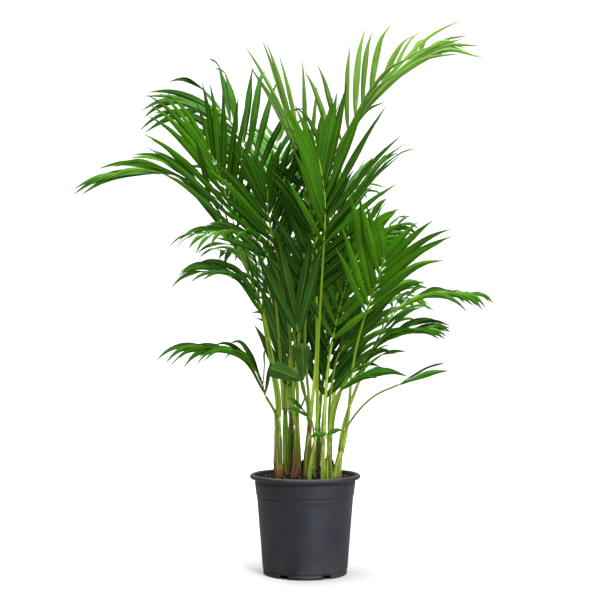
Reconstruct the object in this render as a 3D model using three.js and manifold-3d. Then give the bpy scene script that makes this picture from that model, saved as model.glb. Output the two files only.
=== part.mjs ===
// A potted areca palm: a round nursery pot filled with soil, a clump of canes that stand in plain
// holes in the soil, and one body for each frond, which is its stalk with all of its leaflets.
// Millimetres, +Z up, the front of the plant towards -Y, the origin at the centre of the pot's foot.
import * as THREE from 'three';
import { mergeVertices } from 'three/addons/utils/BufferGeometryUtils.js';
import ManifoldModule from 'manifold-3d';

const wasm = await ManifoldModule();
wasm.setup();

// ---- Driving sizes -------------------------------------------------------------------------

const GAP = 0.3;              // clearance between two bodies that touch on the real plant
const POT_HEIGHT = 152;
const RIM_RADIUS = 85;        // outside of the rolled lip
const COLLAR_RADIUS = 77.5;   // the band under the lip, at its top
const BODY_RADIUS = 74.2;     // just under the collar
const FOOT_RADIUS = 64;
const WALL = 2;
const COLLAR_FOOT = 121;      // height of the step under the collar
const FLOOR_UNDERSIDE = 7;    // the floor plate is raised inside the foot ring
const FLOOR_TOP = 9;
const PAD_RADIUS = 24;        // middle of the floor, which comes down to the ground
const NOTCH_COUNT = 6;
const NOTCH_WIDTH = 14;
const NOTCH_HEIGHT = 6;
const DRAIN_COUNT = 4;
const DRAIN_RADIUS = 4;
const DRAIN_CIRCLE = 42;
const POT_SIDES = 36;

const SOIL_LEVEL = 146;
const SOIL_SIDES = 28;
const SOIL_RINGS = [1, 0.84, 0.66, 0.46, 0.24, 0];
const CRUMB_HEIGHT = 1.6;
// Heaps of soil and old roots behind the canes: centre, height and how far each one spreads.
const HEAPS = [
  { x: -2, y: 24, height: 20, reach: 11 },
  { x: 37, y: 13, height: 30, reach: 11 },
  { x: 14, y: 8, height: 8, reach: 16 },
];

const CANE_FOOT = 104;        // how deep the canes stand in the soil
const CANE_SIDES = 8;
const STALK_RADIUS = 2.5;     // at its root, unless a frond gives its own
const STALK_TIP_RADIUS = 0.8;
const SEATED_LENGTH = 24;     // of a stalk, from its root to just outside its cane
const STALK_STEP = 70;        // distance between the sections of a bare stalk
const SOCKET_SPREAD = 0.55;   // how far from the cane's axis a stalk is seated, as a share of its radius
const LEAFLET_FOOT = 7;       // length of stalk that one leaflet grows from
const FOOT_ROOM = 0.8;        // most of the room between two pairs that a leaflet's foot takes
const RIDGE = 1.4;            // height of a leaflet's midrib over its two edges
const LEAFLET_STATIONS = [0.2, 0.5, 0.8];
const LEAFLET_WIDTHS = [0.68, 1, 0.66];
const LAST_LENGTH = 0.4;      // last pair's share of the greatest length, unless a frond gives its own

// Canes: where each one comes out of the soil, where its leaf sheaths end, and its two radii.
const CANES = {
  cane_01: { base: [-41, 5], top: [-43, 3, 254], radii: [6, 6] },
  cane_02: { base: [-29, 20], top: [-31, 20, 262], radii: [5, 4.2] },
  cane_03: { base: [-21, 42], top: [-22, 46, 256], radii: [4.4, 4.2] },
  cane_04: { base: [-12, 8], top: [-13, 6, 240], radii: [5.8, 5.2] },
  cane_05: { base: [2, -4], top: [8, -2, 246], radii: [5, 5] },
  cane_06: { base: [6, -42], top: [20, -38, 232], radii: [3.3, 2.9] },
  cane_07: { base: [19, 34], top: [22, 38, 250], radii: [4.2, 4.2] },
  cane_08: { base: [26.5, -54], top: [27.5, -52, 214], radii: [3.2, 2.9] },
  cane_09: { base: [34.5, -52], top: [35.2, -52, 222], radii: [3.2, 2.9] },
  cane_10: { base: [36, -4], top: [40, -4, 232], radii: [4, 4.2] },
  cane_11: { base: [47, -36], top: [56, -38, 202], radii: [6.6, 5] },
};
const DEAD_STUB = { base: [-19, -14], top: [-15.5, -12, 168], radii: [3.2, 2.6] };

// Fronds. seat: the cane, the side of it that the stalk leaves from (degrees from +X towards +Y)
// and how deep under the cane's end the stalk is rooted. path: points that the stalk passes after
// it leaves the cane. bare: share of the stalk without leaflets. leaf: greatest length and width,
// the last pair's share of that length, and how much longer the right leaflets are than the left.
// spread: angle between stalk and leaflet at the first and the last pair, and how much less it is
// for the right leaflets. lift: how far the two rows rise out of a plane. droop: how much a leaflet
// bends down. face: where the upper side looks.
const FRONDS = {
  frond_01: {
    seat: ['cane_05', 60, 16], bare: 0.61, pairs: 13, leaf: [157, 11, 0.27, 1.48], spread: [50, 30, 24],
    lift: 30, droop: 0.8, face: [-0.5, -0.7, 0.5],
    path: [[18, 6, 340], [19, 10, 529], [35, 8, 610], [55, 5, 665], [81, 2, 703], [103, 0, 732],
      [143, -4, 765], [178, -8, 796]],
  },
  frond_02: {
    seat: ['cane_06', 180, 12], bare: 0.67, pairs: 9, leaf: [176, 14], spread: [48, 22, 4], lift: 26,
    droop: 0.34, face: [0.5, -0.8, 0.13],
    path: [[18, -50, 300], [21, -56, 377], [28, -64, 502], [29, -72, 569], [18, -80, 637]],
  },
  frond_03: {
    seat: ['cane_01', 0, 16], bare: 0.69, pairs: 8, stalk: 1.9, leaf: [183, 10.5, 0.6, 0.9],
    spread: [32, 17], lift: 21, droop: 0.68, face: [0.05, -0.8, 0.2],
    path: [[-57, -8, 365], [-82, -20, 447], [-105, -40, 523], [-122, -55, 583], [-143, -66, 644]],
  },
  frond_04: {
    seat: ['cane_01', 90, 14], bare: 0.54, pairs: 11, stalk: 1.9, leaf: [134, 11, 0.75],
    spread: [25, 17, 7], lift: 18, droop: 0.76, face: [0.03, -0.01, 0.9],
    path: [[-64, 12, 396], [-101, -2, 487], [-135, -32, 547], [-156, -58, 584], [-189, -80, 601],
      [-211, -95, 603], [-247, -108, 600]],
  },
  frond_05: {
    seat: ['cane_02', 180, 14], bare: 0.6, pairs: 11, leaf: [173, 13, 0.59], spread: [43, 22], lift: 12,
    droop: 1.03, face: [0.01, -0.6, 0.7],
    path: [[-46, 50, 420], [-68, 80, 572], [-92, 100, 659], [-116, 110, 705], [-143, 118, 735],
      [-182, 124, 737]],
  },
  frond_06: {
    seat: ['cane_11', 20, 16], bare: 0.67, pairs: 9, leaf: [162, 12, 0.32], spread: [39, 29], lift: 30,
    droop: 0.46, face: [0.2, -0.9, 0.9],
    path: [[66, -42, 250], [72, -52, 321], [90, -66, 396], [109, -85, 453], [120, -98, 491]],
  },
  frond_07: {
    seat: ['cane_11', 140, 14], bare: 0.51, pairs: 8, leaf: [90, 9, 0.45], spread: [29, 9], lift: -6,
    droop: 1.31, face: [-0.2, -0.3, 1],
    path: [[66, -26, 251], [90, -14, 311], [128, 0, 385], [159, 10, 418], [203, 20, 431],
      [263, 40, 431]],
  },
  frond_08: {
    seat: ['cane_10', -20, 14], bare: 0.4, pairs: 9, leaf: [103, 10, 0.35], spread: [33, 11], lift: 8,
    droop: 0.89, face: [-0.2, -0.4, 1],
    path: [[62, -20, 296], [87, -36, 322], [110, -52, 351], [138, -64, 367], [183, -76, 377]],
  },
  frond_09: {
    seat: ['cane_09', 0, 14], bare: 0.62, pairs: 3, stalk: 3, leaf: [104, 13], spread: [22, 10],
    lift: 4, droop: 0.8, face: [-0.4, -0.6, 0.8],
    path: [[39, -60, 250], [49, -65, 277], [66, -75, 297], [90, -85, 310]],
  },
  frond_10: {
    seat: ['cane_11', 260, 12], bare: 0.965, pairs: 1, stalk: 1.5, leaf: [84, 13], spread: [13, 13],
    lift: 10, droop: 0.3, face: [0, -0.4, 1],
    path: [[66, -50, 232], [82, -60, 254], [106, -75, 277], [142, -90, 294]],
  },
  frond_11: {
    seat: ['cane_01', 180, 30], bare: 0.29, pairs: 10, stalk: 1.7, leaf: [106, 10, 0.77],
    spread: [20, 8], lift: 7, droop: 1.64, face: [-0.04, -0.3, 1.2],
    path: [[-60, -20, 272], [-70, -36, 305], [-102, -55, 333], [-156, -85, 349]],
  },
  frond_12: {
    seat: ['cane_01', 270, 16], bare: 0.56, pairs: 8, stalk: 1.9, leaf: [95, 9, 0.84], spread: [20, 10],
    lift: 6, droop: 1.28, face: [0.1, -0.5, 1],
    path: [[-56, -16, 340], [-69, -22, 409], [-82, -30, 441], [-118, -46, 460], [-139, -66, 459]],
  },
  frond_13: {
    seat: ['cane_04', 180, 14], bare: 0.62, pairs: 8, leaf: [92, 8, 0.68], spread: [33, 20], lift: 8,
    droop: 1.02, face: [0.2, -0.15, 1],
    path: [[-26, -15, 380], [-44, -42, 461], [-74, -80, 505], [-112, -125, 516], [-143, -155, 509]],
  },
  frond_14: {
    seat: ['cane_04', 60, 14], bare: 0.68, pairs: 9, leaf: [135, 13], spread: [44, 22], lift: 14,
    droop: 0.35, face: [0.2, -0.9, 0.3],
    path: [[-16, -22, 360], [-27, -38, 433], [-44, -50, 490], [-55, -58, 543], [-57, -66, 594]],
  },
  frond_15: {
    seat: ['cane_05', 250, 14], bare: 0.48, pairs: 11, leaf: [125, 16], spread: [50, 26], lift: 12,
    droop: 0.4, face: [0.1, -0.9, 0.4],
    path: [[0, -25, 355], [4, -38, 433], [13, -45, 508], [6, -50, 560], [-12, -58, 610]],
  },
  frond_16: {
    seat: ['cane_03', 0, 16], bare: 0.75, pairs: 6, leaf: [154, 8, 0.86], spread: [23, 13], lift: 15,
    droop: 0.31, face: [0.03, -0.8, 0.3],
    path: [[-8, 24, 373], [-4, 38, 445], [3, 48, 546], [3, 52, 634], [-31, 52, 715]],
  },
  frond_17: {
    seat: ['cane_07', 60, 16], bare: 0.58, pairs: 8, leaf: [144, 8, 0.47], spread: [30, 22], lift: 23,
    droop: 0.64, face: [-0.4, -0.2, 0.6],
    path: [[36, 52, 360], [32, 80, 495], [64, 100, 569], [94, 115, 606], [125, 128, 636]],
  },
  frond_18: {
    seat: ['cane_07', -40, 14], bare: 0.56, pairs: 10, leaf: [91, 10], spread: [49, 34], lift: 12,
    droop: 0.64, face: [0.2, -0.2, 0.4],
    path: [[42, 34, 380], [70, 40, 485], [114, 45, 527], [150, 48, 541]],
  },
  frond_19: {
    seat: ['cane_08', 60, 12], bare: 0.45, pairs: 10, leaf: [115, 15], spread: [46, 22], lift: 14,
    droop: 0.5, face: [-0.3, -0.8, 0.5],
    path: [[34, -36, 310], [46, -38, 380], [62, -44, 440], [84, -50, 500], [96, -56, 540]],
  },
  frond_20: {
    seat: ['cane_04', 300, 12], bare: 0.95, pairs: 1, stalk: 1.6, leaf: [78, 22, 0.4, 0.8],
    spread: [22, 22], lift: 0, droop: 0.12, face: [0, -1, 0.2],
    path: [[-6, -32, 258], [1, -50, 282], [-6, -60, 300]],
  },
  frond_21: {
    seat: ['cane_02', 60, 16], bare: 0.46, pairs: 10, leaf: [120, 13], spread: [50, 26], lift: 13,
    droop: 0.9, face: [0.4, -0.13, 0.9],
    path: [[-44, 76, 380], [-69, 134, 462], [-101, 192, 511], [-142, 240, 510]],
  },
  frond_22: {
    seat: ['cane_03', 230, 16], bare: 0.49, pairs: 11, leaf: [153, 14], spread: [53, 27], lift: 15,
    droop: 0.44, face: [0.04, -0.13, 0.9],
    path: [[-30, 84, 400], [-57, 142, 533], [-42, 200, 639], [-49, 256, 705]],
  },
  frond_23: {
    seat: ['cane_07', 150, 16], bare: 0.47, pairs: 11, leaf: [126, 14], spread: [50, 14], lift: 13,
    droop: 0.28, face: [0.06, 0.2, 1.2],
    path: [[32, 84, 400], [39, 142, 533], [65, 202, 612], [106, 255, 615]],
  },
  frond_24: {
    seat: ['cane_10', 80, 16], bare: 0.27, pairs: 11, leaf: [119, 13], spread: [58, 28], lift: 12,
    droop: 0.95, face: [-0.3, -0.2, 1.1],
    path: [[58, 56, 330], [93, 118, 389], [126, 172, 431], [177, 218, 423]],
  },
  frond_25: {
    seat: ['cane_03', 110, 14], bare: 0.31, pairs: 11, leaf: [120, 14], spread: [46, 28], lift: 12,
    droop: 0.95, face: [0.1, -0.1, 1],
    path: [[-16, 90, 340], [-14, 160, 410], [-8, 225, 440], [-2, 280, 430]],
  },
  frond_26: {
    seat: ['soil', 14, -26], bare: 0.955, pairs: 1, stalk: 1.5, leaf: [46, 9], spread: [13, 13],
    lift: -4, droop: 0.5, face: [0, -0.6, 0.8],
    path: [[13, -28, 190], [12, -34, 226], [8, -40, 239], [2, -44, 245]],
  },
  frond_27: {
    seat: ['soil', 40, -58], bare: 0.93, pairs: 1, stalk: 1.5, leaf: [27, 8], spread: [76, 76], lift: 0,
    droop: 0.5, face: [0, -0.7, 0.7],
    path: [[38, -60, 180], [34, -63, 204], [31, -65, 220]],
  },
  frond_28: {
    seat: ['cane_10', 200, 14], bare: 0.81, pairs: 2, leaf: [119, 20, 0.93], spread: [17, 10], lift: 4,
    droop: 0.31, face: [0, -1, 0.3],
    path: [[40, -18, 280], [50, -28, 332], [67, -34, 361]],
  },
  frond_29: {
    seat: ['cane_05', 150, 12], bare: 0.84, pairs: 2, leaf: [150, 21, 0.9], spread: [22, 14], lift: 4,
    droop: 0.2, face: [0.1, -1, 0.3],
    path: [[-5, -26, 290], [-9, -40, 345], [-14, -47, 392]],
  },
  frond_30: {
    seat: ['cane_02', 320, 14], bare: 0.15, pairs: 9, leaf: [128, 20, 0.6], spread: [40, 20], lift: 10,
    droop: 0.4, face: [0.05, -0.5, 0.8],
    path: [[-24, 34, 330], [-22, 52, 404], [-22, 66, 479]],
  },
  frond_31: {
    seat: ['soil', 27, 15], bare: 0.41, pairs: 10, leaf: [129, 20, 0.56], spread: [42, 20], lift: 6,
    droop: 0.38, face: [-0.1, -0.6, 0.8],
    path: [[28, 18, 230], [37, 24, 321], [31, 40, 400], [45, 56, 467]],
  },
};

// Ways to bend a leaflet clear of its neighbours: turned along the stalk and lifted, in degrees.
const BENDS = [
  [0, 0], [6, 0], [-6, 0], [0, 8], [0, -8], [8, 8], [-8, 8], [8, -8], [-8, -8],
  [14, 0], [-14, 0], [0, 16], [0, -16], [14, 14], [-14, 14], [14, -14], [-14, -14], [0, 26], [0, -26],
];
const SHORTENINGS = [1, 0.84, 0.68];
const NUDGES = [0, 5, -5, 10, -10, 16, -16, 23, -23];  // ways to move a stalk back or forward
const CELL = 24;              // edge of the grid cells that placed faces are filed in

// ---- Materials -----------------------------------------------------------------------------

const matte = (color, roughness) => new THREE.MeshStandardMaterial({ color, roughness, metalness: 0 });
const potPlastic = matte(0x3c3e46, 0.55);
const pottingSoil = matte(0x2b1f1a, 1);
const caneGreen = matte(0x7f9a3a, 0.5);
const deadBrown = matte(0x5b3a33, 0.8);
const leafGreen = matte(0x3a7a24, 0.5);

// ---- Small helpers -------------------------------------------------------------------------

const radians = THREE.MathUtils.degToRad;
const lerp = THREE.MathUtils.lerp;
const vector = (point) => new THREE.Vector3(...point);

/** The same number between -1 and 1 each time for the same pair of numbers. */
function scatter(a, b) {
  const wave = Math.sin(a * 12.9898 + b * 78.233) * 43758.5453;
  return 2 * (wave - Math.floor(wave)) - 1;
}

/** A closed mesh as a solid that can be joined and cut. */
function toSolid(geometry) {
  geometry.deleteAttribute('normal');
  geometry.deleteAttribute('uv');
  const merged = mergeVertices(geometry, 1e-4);
  const index = merged.index.array;
  const triangles = [];
  for (let i = 0; i < index.length; i += 3) {
    const [a, b, c] = index.slice(i, i + 3);
    if (a !== b && b !== c && c !== a) triangles.push(a, b, c);
  }
  return new wasm.Manifold(new wasm.Mesh({
    numProp: 3,
    vertProperties: new Float32Array(merged.attributes.position.array),
    triVerts: new Uint32Array(triangles),
  }));
}

/** A BufferGeometry from corner coordinates and the corner numbers of its triangles. */
function toGeometry(coordinates, triangles) {
  const geometry = new THREE.BufferGeometry();
  geometry.setAttribute('position', new THREE.Float32BufferAttribute(coordinates, 3));
  geometry.setIndex(Array.from(triangles));
  geometry.computeVertexNormals();
  return geometry;
}

function fromSolid(solid) {
  const mesh = solid.getMesh();
  return toGeometry(mesh.vertProperties, mesh.triVerts);
}

/** Corners and faces of a body that is built up by hand. */
class Body {
  corners = [];
  faces = [];

  add(points) {
    const first = this.corners.length;
    this.corners.push(...points);
    return points.map((_, i) => first + i);
  }

  geometry() {
    return toGeometry(this.corners.flatMap((corner) => corner.toArray()), this.faces.flat());
  }

  triangles(faces = this.faces) {
    return faces.map((face) => face.map((i) => this.corners[i]));
  }
}

/** Side faces between two rings of a tube, each quad split along a diagonal that turns one way. */
function tubeFaces(near, far) {
  const faces = [];
  near.forEach((corner, i) => {
    const next = (i + 1) % near.length;
    faces.push([corner, far[i], near[next]], [far[i], far[next], near[next]]);
  });
  return faces;
}

/** A closed tube through rings of points, each ring running anticlockwise seen from the far end. */
function tube(rings) {
  const body = new Body();
  const placed = rings.map((ring) => body.add(ring).reverse());
  for (let i = 1; i < placed.length; i += 1) body.faces.push(...tubeFaces(placed[i - 1], placed[i]));
  const first = placed[0];
  const last = placed[placed.length - 1];
  for (let i = 1; i < first.length - 1; i += 1) {
    body.faces.push([first[0], first[i], first[i + 1]], [last[0], last[i + 1], last[i]]);
  }
  return body;
}

// ---- Keeping bodies clear of each other ----------------------------------------------------

/** Whether the line from p to q passes through a triangle: its height and two shares are solved. */
function lineMeets(p, q, [a, b, c]) {
  const along = q.clone().sub(p);
  const sideB = b.clone().sub(a);
  const sideC = c.clone().sub(a);
  const across = along.clone().cross(sideC);
  const scale = sideB.dot(across);
  if (Math.abs(scale) < 1e-9) return false;
  const offset = p.clone().sub(a);
  const shareB = offset.dot(across) / scale;
  if (shareB < 0 || shareB > 1) return false;
  const turned = offset.cross(sideB);
  const shareC = along.dot(turned) / scale;
  if (shareC < 0 || shareB + shareC > 1) return false;
  const height = sideC.dot(turned) / scale;
  return height >= 0 && height <= 1;
}

function trianglesMeet(one, other) {
  const edges = [[0, 1], [1, 2], [2, 0]];
  return edges.some(([i, j]) => lineMeets(one[i], one[j], other) || lineMeets(other[i], other[j], one));
}

/** The faces placed so far, filed by grid cell, so that a new face is tested only near itself. */
class PlacedFaces {
  cells = new Map();

  keys(box) {
    const keys = [];
    const [low, high] = [box.min, box.max].map((v) => v.toArray().map((n) => Math.floor(n / CELL)));
    for (let x = low[0]; x <= high[0]; x += 1) {
      for (let y = low[1]; y <= high[1]; y += 1) {
        for (let z = low[2]; z <= high[2]; z += 1) keys.push(`${x},${y},${z}`);
      }
    }
    return keys;
  }

  add(triangles, owner) {
    for (const corners of triangles) {
      const box = new THREE.Box3().setFromPoints(corners);
      for (const key of this.keys(box)) {
        if (!this.cells.has(key)) this.cells.set(key, []);
        this.cells.get(key).push({ corners, box, owner });
      }
    }
  }

  /** The owner of a placed face that one of the triangles passes through, or undefined. */
  crossed(triangles, ignored = []) {
    for (const corners of triangles) {
      const box = new THREE.Box3().setFromPoints(corners);
      for (const key of this.keys(box)) {
        const face = (this.cells.get(key) ?? []).find((other) => !ignored.includes(other.owner)
          && other.box.intersectsBox(box) && trianglesMeet(corners, other.corners));
        if (face) return face.owner;
      }
    }
    return undefined;
  }
}

// ---- Pot -----------------------------------------------------------------------------------

/** The pot's outline from the middle of its foot, up the outside, over the lip and down inside. */
function potOutline() {
  const lip = [];
  const lipRadius = 3.6;
  for (let i = 0; i <= 4; i += 1) {
    const turn = radians(lerp(-60, 110, i / 4));
    lip.push([
      RIM_RADIUS - lipRadius + lipRadius * Math.cos(turn),
      POT_HEIGHT - lipRadius + lipRadius * Math.sin(turn),
    ]);
  }
  return [
    [0, 0], [PAD_RADIUS, 0], [PAD_RADIUS + 3, FLOOR_UNDERSIDE], [FOOT_RADIUS - 4, FLOOR_UNDERSIDE],
    [FOOT_RADIUS - 3, 0], [FOOT_RADIUS - 0.4, 0], [FOOT_RADIUS, 5.5], [FOOT_RADIUS + 1.2, 8.5],
    [BODY_RADIUS, COLLAR_FOOT - 3], [COLLAR_RADIUS - 2, COLLAR_FOOT + 0.5],
    [COLLAR_RADIUS, POT_HEIGHT - 13], [RIM_RADIUS - 5.5, POT_HEIGHT - 8],
    ...lip,
    [RIM_RADIUS - 7, POT_HEIGHT - 3], [COLLAR_RADIUS - WALL, POT_HEIGHT - 12],
    [COLLAR_RADIUS - WALL - 2, COLLAR_FOOT], [BODY_RADIUS - WALL, COLLAR_FOOT - 4],
    [FOOT_RADIUS - WALL + 1, FLOOR_TOP], [0, FLOOR_TOP],
  ].map(([radius, height]) => new THREE.Vector2(radius, height));
}

function standUp(geometry) {
  return geometry.rotateX(Math.PI / 2);
}

/** Notches in the foot ring and round holes in the floor, which let water out. */
function potDrainage() {
  const cutters = [];
  for (let i = 0; i < NOTCH_COUNT; i += 1) {
    const turn = radians(-90 + 30 + i * 360 / NOTCH_COUNT);
    const notch = new THREE.BoxGeometry(14, NOTCH_WIDTH, 2 * NOTCH_HEIGHT);
    cutters.push(toSolid(notch.translate(FOOT_RADIUS, 0, 0).rotateZ(turn)));
  }
  for (let i = 0; i < DRAIN_COUNT; i += 1) {
    const turn = radians(-90 + i * 360 / DRAIN_COUNT);
    const drain = standUp(new THREE.CylinderGeometry(DRAIN_RADIUS, DRAIN_RADIUS, 8, 8));
    const [x, y] = [DRAIN_CIRCLE * Math.cos(turn), DRAIN_CIRCLE * Math.sin(turn)];
    cutters.push(toSolid(drain.translate(x, y, (FLOOR_UNDERSIDE + FLOOR_TOP) / 2)));
  }
  return cutters;
}

function buildPot() {
  let pot = toSolid(standUp(new THREE.LatheGeometry(potOutline(), POT_SIDES)));
  for (const cutter of potDrainage()) pot = pot.subtract(cutter);
  return pot;
}

// ---- Soil ----------------------------------------------------------------------------------

/** Height of the soil at a place: its level, the heaps as round hills, and a scatter of crumbs. */
function soilHeight(x, y) {
  let height = SOIL_LEVEL + CRUMB_HEIGHT * scatter(Math.round(x), Math.round(y));
  for (const heap of HEAPS) {
    const distance = Math.hypot(x - heap.x, y - heap.y) / heap.reach;
    height += heap.height * Math.exp(-distance * distance);
  }
  return height;
}

function buildSoil() {
  const wall = potOutline().slice(-5, -1).reverse();
  const sides = wall.map((point) => new THREE.Vector2(point.x - GAP - 0.3, point.y));
  sides[0].y = FLOOR_TOP + GAP;
  sides[3].set(COLLAR_RADIUS - WALL - 1 - GAP, SOIL_LEVEL - 8);
  const radius = COLLAR_RADIUS - WALL - 1 - GAP;
  const top = SOIL_RINGS.map((share) => new THREE.Vector2(share * radius, SOIL_LEVEL));
  const outline = [new THREE.Vector2(0, FLOOR_TOP + GAP), ...sides, ...top];
  const geometry = standUp(new THREE.LatheGeometry(outline, SOIL_SIDES));
  geometry.deleteAttribute('normal');
  geometry.deleteAttribute('uv');
  const heaped = mergeVertices(geometry, 1e-4);
  const position = heaped.attributes.position;
  for (let i = 0; i < position.count; i += 1) {
    const [x, y, z] = [position.getX(i), position.getY(i), position.getZ(i)];
    if (z > SOIL_LEVEL - 1) position.setZ(i, soilHeight(x, y));
  }
  return toSolid(heaped);
}

// ---- Canes ---------------------------------------------------------------------------------

/** Level rings round a cane's axis, which stands upright in the soil and then leans to its top. */
function caneRings(cane, clearance = 0) {
  const [x, y] = cane.base;
  const upright = [CANE_FOOT - clearance, SOIL_LEVEL + 4].map((z) => new THREE.Vector3(x, y, z));
  const axis = new THREE.CatmullRomCurve3([...upright, vector(cane.top)]);
  const rings = [];
  for (const share of [0, 0.3, 0.45, 0.72, 1]) {
    const centre = axis.getPointAt(share);
    const swelling = share < 0.5 ? cane.radii[0] : lerp(cane.radii[0], cane.radii[1], 2 * share - 1);
    const radius = (swelling + clearance) / Math.cos(Math.PI / CANE_SIDES);
    rings.push(Array.from({ length: CANE_SIDES }, (_, i) => {
      const turn = 2 * Math.PI * i / CANE_SIDES;
      return centre.clone().add(new THREE.Vector3(radius * Math.cos(turn), radius * Math.sin(turn), 0));
    }));
  }
  return rings;
}

// ---- Fronds --------------------------------------------------------------------------------

/** The stalk's curve: rooted in its cane or in the soil, and then through the frond's own points. */
function stalkCurve(frond, nudge) {
  const [holder, turn, depth] = frond.seat;
  const start = [];
  if (holder === 'soil') {
    start.push(...[-22, 6].map((height) => new THREE.Vector3(turn, depth, SOIL_LEVEL + height)));
  } else {
    const cane = CANES[holder];
    const reach = SOCKET_SPREAD * cane.radii[1];
    const side = new THREE.Vector3(Math.cos(radians(turn)), Math.sin(radians(turn)), 0);
    const end = vector(cane.top);
    const lean = end.clone().sub(new THREE.Vector3(...cane.base, SOIL_LEVEL)).normalize();
    const rise = 5 - 0.8 * (depth - 14);
    start.push(end.clone().addScaledVector(lean, -depth).addScaledVector(side, reach));
    start.push(end.clone().addScaledVector(lean, rise).addScaledVector(side, reach * 1.35));
  }
  const free = frond.path.map(([x, y, z], i) => new THREE.Vector3(x, y + (i > 0 ? nudge : nudge / 2), z));
  return new THREE.CatmullRomCurve3([...start, ...free], false, 'centripetal');
}

/** The stalk's directions at a share of its length: along it, up out of its upper side, and aside. */
function stalkFrame(frond, curve, share) {
  const along = curve.getTangentAt(share);
  const up = vector(frond.face).addScaledVector(along, -vector(frond.face).dot(along)).normalize();
  return { at: curve.getPointAt(share), along, up, side: along.clone().cross(up) };
}

/** The stalk's three-sided section: the right edge, the ridge on top and the left edge. */
function stalkRing(frame, radius) {
  return [-30, 90, 210].map((turn) => frame.at.clone()
    .addScaledVector(frame.side, radius * Math.cos(radians(turn)))
    .addScaledVector(frame.up, radius * Math.sin(radians(turn))));
}

/** Shares of the stalk's length where it has a section, and which ones begin a pair's foot. */
function stalkShares(frond, length) {
  const steps = Math.max(3, Math.ceil(frond.bare * length / STALK_STEP));
  const exit = SEATED_LENGTH / length;
  const shares = [0, ...Array.from({ length: steps }, (_, i) => lerp(exit, frond.bare, i / steps))];
  const feet = [];
  const room = (1 - frond.bare) * length / frond.pairs;
  const foot = Math.min(LEAFLET_FOOT, FOOT_ROOM * room) / length;
  for (let pair = 0; pair < frond.pairs; pair += 1) {
    const share = lerp(frond.bare, 1 - foot, frond.pairs > 1 ? pair / (frond.pairs - 1) : 0);
    feet.push(shares.length);
    shares.push(share, share + foot);
  }
  shares[shares.length - 1] = 1;
  return { shares, feet };
}

/** The stalk tapers to its tip, and is slimmer again where it stands in its cane. */
function stalkRadius(frond, share, length) {
  const seated = 1 - THREE.MathUtils.smoothstep(share * length, SEATED_LENGTH, 3 * SEATED_LENGTH);
  return lerp(frond.stalk ?? STALK_RADIUS, STALK_TIP_RADIUS, share) * (1 - 0.3 * seated);
}

/** The bare stalk without leaflets, grown by a clearance on every side. */
function stalkTube(frond, curve, clearance) {
  const length = curve.getLength();
  const { shares } = stalkShares(frond, length);
  return tube(shares.map((share, i) => {
    const frame = stalkFrame(frond, curve, share);
    if (i === 0) frame.at.addScaledVector(frame.along, -clearance);
    return stalkRing(frame, stalkRadius(frond, share, length) + 2 * clearance).reverse();
  }));
}

/**
 * Sections of one leaflet. It starts at an angle to the stalk that falls from the first pair to the
 * last, is longest a third of the way along, and bends down further the nearer it is to its tip.
 * Each section is a low roof: two edges and a ridge over the middle, turned so that leaflets lap.
 */
function leafletSections(frond, frame, pair, side, bend, clearance) {
  const share = frond.pairs > 1 ? pair / (frond.pairs - 1) : 0.5;
  const seed = pair * 2 + (side > 0 ? 1 : 0) + frond.number * 31;
  const [first, final, closer = 0] = frond.spread;
  const angle = lerp(first, final, share ** 0.8) - (side > 0 ? closer : 0);
  const spread = radians(angle + 4 * scatter(seed, 1) + bend.swing);
  const lift = radians(frond.lift + 4 * scatter(seed, 2) + bend.lift);
  const last = frond.leaf[2] ?? LAST_LENGTH;
  const reach = side > 0 ? frond.leaf[3] ?? 1 : 1;
  const length = frond.leaf[0] * reach * bend.length * (1 + 0.06 * scatter(seed, 3))
    * lerp(last, 1, Math.sin(Math.PI * (0.22 + 0.78 * share)));
  const width = frond.leaf[1] * (0.8 + 0.2 * Math.sin(Math.PI * share)) + clearance;
  const start = frame.along.clone().multiplyScalar(Math.cos(spread))
    .addScaledVector(frame.side, side * Math.sin(spread) * Math.cos(lift))
    .addScaledVector(frame.up, Math.sin(spread) * Math.sin(lift));
  const droop = frond.droop * (1 + 0.25 * scatter(seed, 4));
  const heading = (t) => start.clone().addScaledVector(frame.along, 0.25 * t)
    .add(new THREE.Vector3(0, 0, -droop * t * t)).normalize();
  const lap = radians(18 + 6 * scatter(seed, 5));
  const sections = [];
  const centre = frame.at.clone();
  let reached = 0;
  [...LEAFLET_STATIONS, 1].forEach((station, i) => {
    centre.addScaledVector(heading((reached + station) / 2), (station - reached) * length);
    reached = station;
    const along = heading(station);
    const across = frame.along.clone().addScaledVector(along, -frame.along.dot(along)).normalize();
    const ridge = along.clone().cross(across).multiplyScalar(side);
    const turned = across.clone().multiplyScalar(Math.cos(lap)).addScaledVector(ridge, Math.sin(lap));
    const upper = along.clone().cross(turned).multiplyScalar(side);
    const half = 0.5 * width * (LEAFLET_WIDTHS[i] ?? 0);
    const floor = centre.clone().addScaledVector(upper, -clearance / 2);
    sections.push({
      near: floor.clone().addScaledVector(turned, -half),
      far: floor.clone().addScaledVector(turned, half),
      ridge: centre.clone().addScaledVector(upper, RIDGE + clearance / 2),
      tip: centre.clone().addScaledVector(along, clearance),
    });
  });
  return sections;
}

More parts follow.
